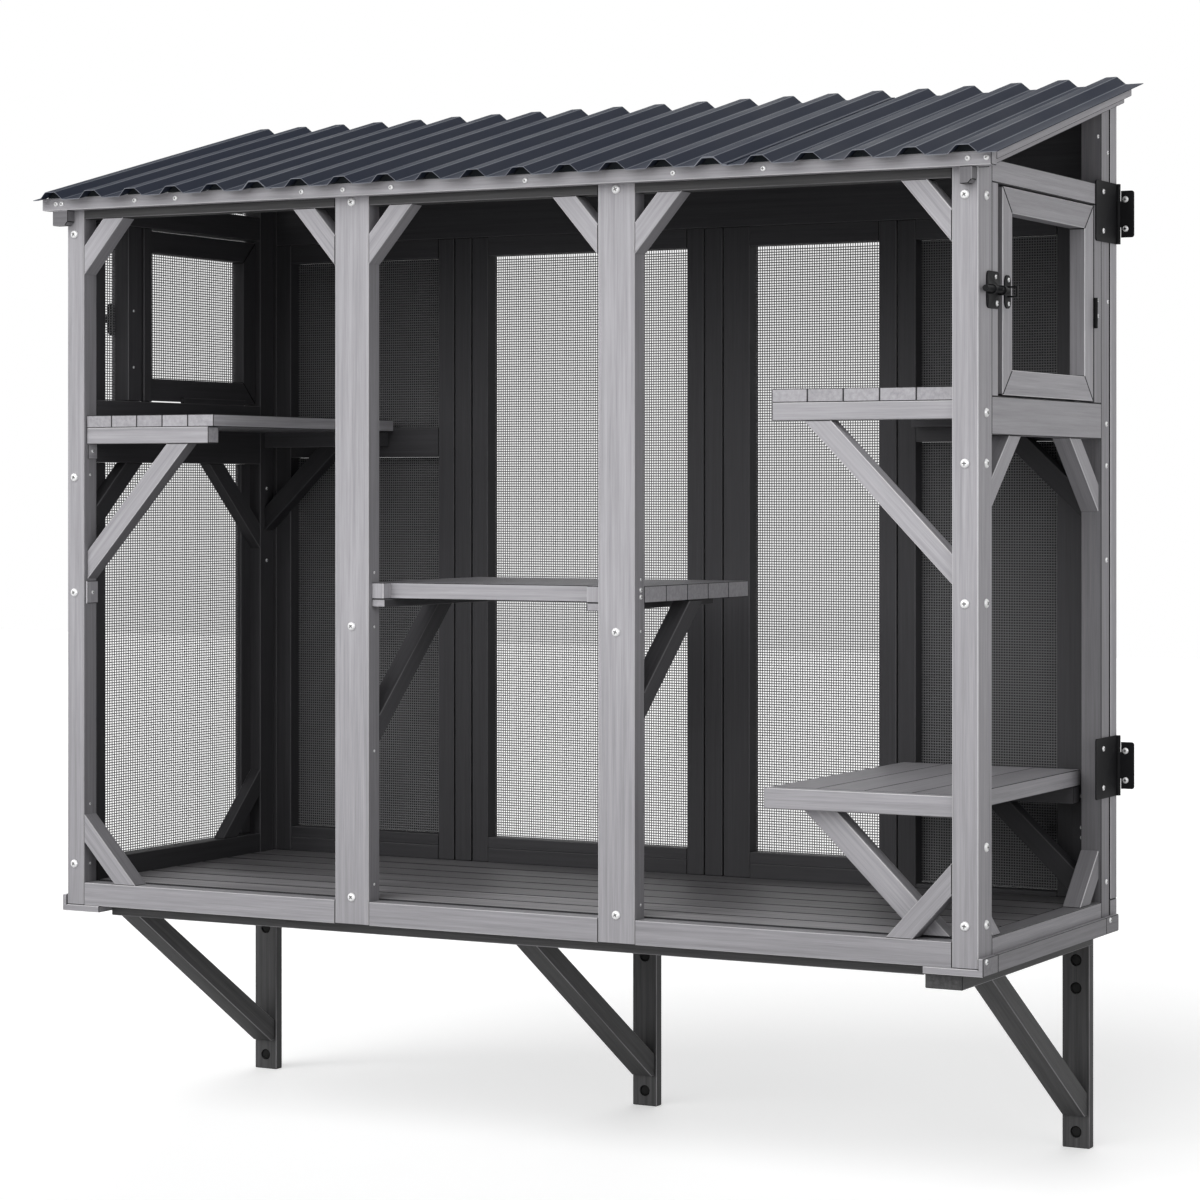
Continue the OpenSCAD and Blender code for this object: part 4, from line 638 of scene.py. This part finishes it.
columns = maths(tree, "DIVIDE", w_in["Width"], w_in["Column pitch"])
feet = row_of_points(columns, vector(half_column), vector(w_in["Column pitch"]))
climb = maths(tree, "MULTIPLY", split.outputs["X"], w_in["Slope"])
reach = maths(tree, "ADD", w_in["Height"], climb)
centred = vector(split.outputs["X"], half_wire, maths(tree, "MULTIPLY", reach, 0.5))
lifted = add(tree, "GeometryNodeSetPosition",
             {"Geometry": with_reach(feet, reach), "Position": centred})
held = add(tree, "GeometryNodeInputNamedAttribute", {"Name": "reach"}).outputs[0]
uprights = wires(lifted.outputs[0], held, w_in["Wire"], (0, 0, 0))

rows = maths(tree, "DIVIDE", tall, w_in["Pitch"])
side_feet = row_of_points(rows, vector(0.0, 0.0, half_pitch), vector(0.0, 0.0, w_in["Pitch"]))
over = maths(tree, "SUBTRACT", split.outputs["Z"], w_in["Height"])
steep = maths(tree, "MAXIMUM", w_in["Slope"], 0.0001)
begin = maths(tree, "MAXIMUM", maths(tree, "DIVIDE", over, steep), 0.0)
span = maths(tree, "SUBTRACT", w_in["Width"], begin)
middle = maths(tree, "ADD", begin, maths(tree, "MULTIPLY", span, 0.5))
level_place = vector(middle, maths(tree, "MULTIPLY", half_wire, -1.0), split.outputs["Z"])
level = add(tree, "GeometryNodeSetPosition",
            {"Geometry": with_reach(side_feet, span), "Position": level_place})
levels = wires(level.outputs[0], held, w_in["Wire"], (0, math.pi / 2, 0))

both = tree.nodes.new("GeometryNodeJoinGeometry")
tree.links.new(uprights, both.inputs[0])
tree.links.new(levels, both.inputs[0])
solid = add(tree, "GeometryNodeRealizeInstances", {"Geometry": both.outputs[0]})
coated_wires = add(tree, "GeometryNodeSetMaterial",
                   {"Geometry": solid.outputs[0], "Material": w_in["Coat"]})
tree.links.new(coated_wires.outputs[0], w_out["Geometry"])
wire_tree = tree
print("wire sheet tree:", len(tree.nodes), "nodes")


# %% [markdown]
# A helper runs a tree once with a set of inputs and hands back plain mesh data. The
# modifier's inputs are named by their socket identifiers, so the helper looks them up by
# the names we gave them.


# %% Helper: run a tree
def grow(tree, start=None, **values):
    """The mesh a tree makes from a start mesh and these inputs, as new mesh data."""
    seed = bpy.data.objects.new("seed", start or bpy.data.meshes.new("seed"))
    scene.collection.objects.link(seed)
    modifier = seed.modifiers.new("tree", "NODES")
    modifier.node_group = tree
    for item in tree.interface.items_tree:
        key = item.name.replace(" ", "_")
        if item.in_out == "INPUT" and key in values:
            modifier[item.identifier] = values[key]
    seed.update_tag()
    view = bpy.context.evaluated_depsgraph_get()
    made = bpy.data.meshes.new_from_object(seed.evaluated_get(view))
    bpy.data.objects.remove(seed)
    return made


PITCH = 0.0041
back_inputs = {"Pitch": PITCH, "Column_pitch": PITCH, "Wire": 0.0016, "Coat": wire_coat}
side_inputs = {"Pitch": PITCH, "Column_pitch": 0.0062, "Wire": 0.0015, "Coat": wire_coat}
print("ready to grow")

# %% [markdown]
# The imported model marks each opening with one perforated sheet. We read the bounds of
# every sheet, grow wires to that size, turn them into the plane of the panel, and join
# all the sheets of a body into one piece.


# %% Wire mesh pieces
def sheet_bounds(node):
    mesh = welded(node)
    found = []
    for group in islands(mesh):
        corners = np.array([vert.co[:] for vert in group])
        low, high = corners.min(0), corners.max(0)
        thin = int(np.argmin(high - low))
        run = 0 if thin == 1 else 1
        first = corners[corners[:, run] < low[run] + 0.002]
        last = corners[corners[:, run] > high[run] - 0.002]
        found.append((thin, low, high, first[:, 2].max(), last[:, 2].max()))
    mesh.free()
    return found


def wire_piece(node_list, name, body):
    joined = bmesh.new()
    for node in node_list:
        for thin, low, high, first_top, last_top in sheet_bounds(node):
            run = 0 if thin == 1 else 1
            width = float(high[run] - low[run])
            slope = float(last_top - first_top) / width
            height = float(first_top - low[2])
            inputs = back_inputs if thin == 1 else side_inputs
            data = grow(wire_tree, Width=width, Height=height, Slope=slope, **inputs)
            for vert in data.vertices:
                x, y, z = vert.co
                middle = (low[thin] + high[thin]) / 2
                if thin == 1:
                    vert.co = (x + low[0], y + middle, z + low[2])
                else:
                    vert.co = (middle - y, x + low[1], z + low[2])
            joined.from_mesh(data)
            bpy.data.meshes.remove(data)
    return publish(joined, name, [wire_coat], body, node_list)


fixed = wire_piece(["left_panel_mesh", "back_mesh_panels"], "panel_wires", "frame")
wire_piece(["left_door_mesh"], "left_door_wires", "left_door")
print("wire faces:", len(fixed.data.polygons))

# %% [markdown]
# The roof is made of thin sheets pressed into ribs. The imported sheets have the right
# pitch and height, so we round their creases a little, as a press does, and shade them
# smooth so that the sheen runs softly over each rib.

# %% Roof
for node in ("roof_sheets_outer", "roof_sheet_middle"):
    sheet = welded(node)
    creases = []
    for edge in sheet.edges:
        if len(edge.link_faces) == 2 and 0.2 < edge.calc_face_angle(0) < 1.2:
            if edge.calc_length() > 0.1:
                creases.append(edge)
    # The bevel faces on the creases take a paler coat, a painted highlight along each crease.
    bmesh.ops.bevel(sheet, geom=creases, offset=0.0012, segments=2, profile=0.5, material=2,
                    affect="EDGES", clamp_overlap=True)
    # The front cut edges take a paler coat too, a painted highlight.
    for face in sheet.faces:
        if face.normal.y < -0.7:
            face.material_index = 1
    publish(sheet, node + "_pressed", [roof_coat, roof_front_highlight, crease_highlight], "frame",
            [node], smooth=True)
print("roof sheets pressed")

# %% [markdown]
# A foam strip closes the open end of every rib above the fascia, so that no wasps nest
# under the roof. Each plug is a wedge that fills the rib from the fascia's top up. The
# ribs' sizes are half widths at foot and crown, and a height, all in millimetres.


# %% Rib closures
RIB_PITCH = 76
RIBS = 21
FIRST_RIB_X = -2
RIB_FOOT = 21
RIB_CROWN = 8.8
RIB_HEIGHT = 11.4
ROOF_SLOPE = 0.26
FASCIA_FRONT = -20
FASCIA_TOP = 1104.1
SHEET_AT_FASCIA = 1104.2


def closure(mesh, x):
    """One plug, from its front face to its rear face, in millimetres of the box."""
    rings = []
    for y in (-19.0, -7.0):
        under = SHEET_AT_FASCIA + ROOF_SLOPE * (y - FASCIA_FRONT)
        crown = under + RIB_HEIGHT
        outline = [(-RIB_FOOT, FASCIA_TOP), (RIB_FOOT, FASCIA_TOP), (RIB_FOOT, under),
                   (RIB_CROWN, crown), (-RIB_CROWN, crown), (-RIB_FOOT, under)]
        rings.append([mesh.verts.new(place_at(x + dx, y, z)) for dx, z in outline])
    mesh.faces.new(rings[0])
    mesh.faces.new(list(reversed(rings[1])))
    for i in range(6):
        j = (i + 1) % 6
        mesh.faces.new((rings[0][j], rings[0][i], rings[1][i], rings[1][j]))


strip = bmesh.new()
for rib in range(RIBS):
    closure(strip, FIRST_RIB_X + RIB_PITCH * rib)
bmesh.ops.recalc_face_normals(strip, faces=strip.faces)
bevel_edges(strip, 0.0006)
# The foam's dark colour also stands in for the shade inside each rib's end.
publish(strip, "rib_closures", [foam_strip, foam_strip], "frame")
print("ribs closed:", RIBS)

# %% [markdown]
# Hinges, latches and keepers keep their imported shapes, which are already exact, because
# they must stay clear of each other as the doors swing. They get a fine bevel in a paler coat.

# %% Hinges and latches
METAL = [black_metal, metal_edge]
metal_bodies = {
    "frame": ["door_hinge_frame_leaves", "hinge_pins", "latch_plates", "wall_hinge_side_leaves"],
    "right_door": ["right_door_hinge_leaf", "right_keeper"],
    "left_door": ["left_door_hinge_leaf", "left_keeper"],
    "right_bolt": ["right_latch_bolt"],
    "left_bolt": ["left_latch_bolt"],
    "upper_right_wall_hinge": ["upper_right_wall_leaf"],
    "lower_right_wall_hinge": ["lower_right_wall_leaf"],
    "upper_left_wall_hinge": ["upper_left_wall_leaf"],
    "lower_left_wall_hinge": ["lower_left_wall_leaf"],
}
for body, members in metal_bodies.items():
    for node in members:
        mesh = welded(node)
        bevel_edges(mesh, 0.0004, shortest=0.004, sharp=0.8)
        publish(mesh, node + "_dressed", METAL, body, [node], smooth=True)
print("metal pieces dressed")

# %% [markdown]
# Screws repeat all over the box, so they are the second job for Geometry Nodes. We build
# one pan head with a cross recess from listed points, then a tree sets it on every point of a
# point mesh, turned to face the way its screw was driven, and spun by a seeded random angle.


# %% One screw head
def screw_head(sides=12, near=0.14, far=0.46):
    """A low dome of radius 1 with a flat cross painted dark as the shade of a recess, its top
    towards +Z.
    """
    mesh = bmesh.new()
    rings = [(1.0, 0.0), (1.0, 0.18), (0.82, 0.42), (0.5, 0.52)]
    loops = []
    for radius, height in rings:
        loop = []
        for i in range(sides):
            turn = math.tau * i / sides
            spot = (radius * math.cos(turn), radius * math.sin(turn), height)
            loop.append(mesh.verts.new(spot))
        loops.append(loop)
    for low, high in zip(loops, loops[1:]):
        for i in range(sides):
            j = (i + 1) % sides
            mesh.faces.new((low[i], low[j], high[j], high[i]))
    mesh.faces.new(loops[-1])
    arm = [(near, far), (near, near), (far, near),
           (far, -near), (near, -near), (near, -far),
           (-near, -far), (-near, -near), (-far, -near),
           (-far, near), (-near, near), (-near, far)]
    cross = mesh.faces.new([mesh.verts.new((x, y, 0.54)) for x, y in reversed(arm)])
    cross.normal_update()
    if cross.normal.z < 0:
        cross.normal_flip()
    # The cross is a flat face painted dark, the shade of the recess.
    cross.material_index = 1
    data = bpy.data.meshes.new("screw head")
    mesh.to_mesh(data)
    mesh.free()
    data.materials.append(zinc)
    data.materials.append(recess_shade_black)
    return bpy.data.objects.new("screw head", data)


head = screw_head()
print("screw head faces:", len(head.data.polygons))

# %% Geometry Nodes: screws on points
tree, s_in, s_out = open_group(
    "Screws", "GeometryNodeTree",
    {"Geometry": ("Geometry", None), "Head": ("Object", None), "Seed": ("Int", 3)},
    {"Geometry": "Geometry"},
)
facing = add(tree, "GeometryNodeInputNamedAttribute",
             {"Name": "facing"}, data_type="FLOAT_VECTOR").outputs[0]
size = add(tree, "GeometryNodeInputNamedAttribute", {"Name": "size"}).outputs[0]
aimed = add(tree, "FunctionNodeAlignRotationToVector", {"Vector": facing}, axis="Z").outputs[0]
spin = add(tree, "FunctionNodeRandomValue",
           {2: 0.0, 3: math.tau, "Seed": s_in["Seed"]}, data_type="FLOAT").outputs[1]
twist = add(tree, "FunctionNodeAxisAngleToRotation", {"Axis": (0, 0, 1), "Angle": spin}).outputs[0]
turned = add(tree, "FunctionNodeRotateRotation",
             {0: aimed, 1: twist}, rotation_space="LOCAL").outputs[0]
shape = add(tree, "GeometryNodeObjectInfo", {"Object": s_in["Head"]}).outputs["Geometry"]
scale = add(tree, "ShaderNodeCombineXYZ", {"X": size, "Y": size, "Z": size}).outputs[0]
placed = add(tree, "GeometryNodeInstanceOnPoints",
             {"Points": s_in["Geometry"], "Instance": shape, "Rotation": turned, "Scale": scale})
solid = add(tree, "GeometryNodeRealizeInstances", {"Geometry": placed.outputs[0]})
tree.links.new(solid.outputs[0], s_out["Geometry"])
screw_tree = tree
print("screw tree:", len(tree.nodes), "nodes")


# %% [markdown]
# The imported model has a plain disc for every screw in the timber, so those discs give the
# places, sizes and directions. The hinge leaves, latch plates and keepers get screws too.


# %% Screw pieces
def screws(name, body, spots, replaced=(), seed=3, finish=None):
    """spots holds (centre, direction, radius) of every screw on a body."""
    data = bpy.data.meshes.new(name)
    data.from_pydata([spot[0][:] for spot in spots], [], [])
    data.attributes.new("facing", "FLOAT_VECTOR", "POINT")
    data.attributes.new("size", "FLOAT", "POINT")
    way = data.attributes["facing"]
    size = data.attributes["size"]
    for i, (_, direction, radius) in enumerate(spots):
        way.data[i].vector = direction
        size.data[i].value = radius
    mesh = bmesh.new()
    mesh.from_mesh(grow(screw_tree, data, Head=head, Seed=seed))
    bmesh.ops.triangulate(mesh, faces=[face for face in mesh.faces if len(face.verts) > 4])
    return publish(mesh, name, finish or [zinc, recess_shade_black], body, replaced)


RIGHT = Vector((1, 0, 0))
LEFT = Vector((-1, 0, 0))
FRONT = Vector((0, -1, 0))

timber_screws = []
discs = welded("wood_screws")
for group in islands(discs):
    corners = np.array([vert.co[:] for vert in group])
    low, high = corners.min(0), corners.max(0)
    size = high - low
    thin = int(np.argmin(size))
    centre = Vector(((low + high) / 2).tolist())
    way = FRONT if thin == 1 else (RIGHT if centre.x > 0 else LEFT)
    centre -= way * float(size[thin]) / 2
    timber_screws.append((centre, way, float(size.max()) / 2))
discs.free()
# The timber screws' recesses are painted a lighter grey shade, so the heads read bright.
screws("timber_screws", "frame", timber_screws, ["wood_screws"], finish=[zinc, recess_shade_grey])
print("timber screws:", len(timber_screws))


def both_sides(x, y, z, radius):
    """A screw on the right side of the box and its twin on the left."""
    spot = place_at(x, y, z)
    twin = place_at(BOX_WIDTH - x, y, z)
    return [(spot, RIGHT, radius), (twin, LEFT, radius)]


def column(x, y, heights, way, radius):
    """Screws one above the other, at these heights in millimetres of the box."""
    return [(place_at(x, y, z), way, radius) for z in heights]


PANEL_FACE = 1524.1
PLATE_FACE = 1526.2
BASE_FACE = 1532.3
plate_screws = []
for y, z, radius in ((59, 939, 0.0032), (63, 903, 0.004)):
    plate_screws += both_sides(PLATE_FACE, y, z, radius)
for y, z in ((476, 1170), (519, 1150), (474, 928), (519, 928), (476, 905)):
    plate_screws += both_sides(PANEL_FACE, y, z, 0.003)
for y, z in ((9, 10), (507, 10)):
    plate_screws += both_sides(BASE_FACE, y, z, 0.004)
plate_screws += column(1508, 506.6, [151], FRONT, 0.005)
screws("plate_screws", "frame", plate_screws, seed=5)
for side, face, way in (("right", PLATE_FACE, RIGHT), ("left", BOX_WIDTH - PLATE_FACE, LEFT)):
    spots = column(face, 107.5, (904.5, 937.5), way, 0.0032)
    screws(side + "_keeper_screws", side + "_door", spots, seed=7)

LEAF_SCREW_IN = 0.0132
LEAF_SCREW_RISE = 0.022
LEAF_THICKNESS = 0.002
for corner in ("upper_right", "lower_right", "upper_left", "lower_left"):
    node = corner + "_wall_leaf"
    low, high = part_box(node)
    middle = (low.z + high.z) / 2
    x = high.x - LEAF_SCREW_IN if low.x > 0 else low.x + LEAF_SCREW_IN
    spots = [(Vector((x, high.y - LEAF_THICKNESS, middle + rise)), FRONT, 0.0048)
             for rise in (-LEAF_SCREW_RISE, LEAF_SCREW_RISE)]
    screws(node + "_screws", corner + "_wall_hinge", spots, seed=9)

pilot_spots = []
for x, y, heights in ((555, 16, (525, 444, 259, 60)), (1001, 19, (520, 446, 55)),
                      (31.5, 16, (672, 157, 64)), (32, 130, (934, 844))):
    pilot_spots += column(x, y, heights, RIGHT, 0.0021)
screws("pilot_screws", "frame", pilot_spots, seed=13)
screws("shelf_end_screws", "frame", column(1001, 19, (495, 505), RIGHT, 0.0036), seed=15)
screws("left_door_screw", "left_door", column(24, 177, [926], RIGHT, 0.003), seed=17)

back_face = in_box(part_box("back_frame_posts")[0])[1]
rear_spots = column(1480, back_face, (90, 128, 143, 190), FRONT, 0.003)
screws("rear_post_screws", "frame", rear_spots, seed=19)

panel_face = in_box(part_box("left_panel_posts")[1])[0]
left_spots = column(panel_face, 509, (529, 651), RIGHT, 0.003)
left_spots += column(34.3, 19, (488, 709), RIGHT, 0.003)
screws("left_post_screws", "frame", left_spots, seed=21)

LEG_X = 0.729
LAG_Y = -0.0125
LAG_RADIUS = 0.0085
lag_spots = []
for x in (-LEG_X, 0.0, LEG_X):
    for z in (-0.129, 0.087, 0.129):
        lag_spots.append((Vector((x, LAG_Y, z)), FRONT, LAG_RADIUS))
# The lag heads are painted near black, as the shade in the leg holes.
screws("lag_heads", "frame", lag_spots, seed=11, finish=[recess_shade_black, recess_shade_black])
print("lag heads:", len(lag_spots))

# %% [markdown]
# Studio light: a big soft key from the front, a weaker soft light from the right, a faint
# one from behind for the wall side, and an even sky. What the camera sees directly is
# plain white. The pale floor shows white to the camera as well, and keeps the shadow.

# %% Light
AMBIENT = 0.22
FLOOR_HALF = 14
world = bpy.data.worlds.new("studio")
world.use_nodes = True
scene.world = world
sky = world.node_tree
background = sky.nodes["Background"].inputs
rays = add(sky, "ShaderNodeLightPath")
seen = maths(sky, "MAXIMUM", rays.outputs["Is Camera Ray"], rays.outputs["Is Transmission Ray"])
seen = maths(sky, "MAXIMUM", seen, rays.outputs["Is Glossy Ray"])
level = maths(sky, "MULTIPLY_ADD", seen, 1.0 - AMBIENT, AMBIENT)
background["Color"].default_value = grey(1)
sky.links.new(level, background["Strength"])


def sun(name, direction, strength, softness):
    data = bpy.data.lights.new(name, "SUN")
    data.energy = strength
    data.angle = math.radians(softness)
    lamp = bpy.data.objects.new(name, data)
    lamp.rotation_euler = Vector(direction).to_track_quat("-Z", "Y").to_euler()
    scene.collection.objects.link(lamp)
    return lamp


sun("key", (0.25, 1.0, -0.62), 2.6, 65)
sun("side", (-1.0, 0.45, -0.25), 0.82, 45)
sun("behind", (0.2, -1.0, -0.5), 0.8, 50)

floor_low = min(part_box(node)[0].z for node in ("bracket_legs", "bracket_braces"))
floor_mesh = bpy.data.meshes.new("floor")
floor_corners = [(x * FLOOR_HALF, y * FLOOR_HALF, floor_low)
                 for x, y in ((-1, -1), (1, -1), (1, 1), (-1, 1))]
floor_mesh.from_pydata(floor_corners, [], [(0, 1, 2, 3)])
floor = bpy.data.objects.new("floor", floor_mesh)
scene.collection.objects.link(floor)
floor_paint = bpy.data.materials.new("floor paint")
floor_paint.use_nodes = True
paint = floor_paint.node_tree
surface = paint.nodes["Principled BSDF"].inputs
surface["Base Color"].default_value = grey(0.8)
surface["Roughness"].default_value = 0.9
surface["Emission Color"].default_value = grey(1)
glance = add(paint, "ShaderNodeLightPath").outputs["Is Camera Ray"]
glow = maths(paint, "MULTIPLY", glance, 0.42)
paint.links.new(glow, surface["Emission Strength"])
floor_mesh.materials.append(floor_paint)
print("lights:", len(bpy.data.lights))

# %% Finish
bpy.data.objects.remove(head)
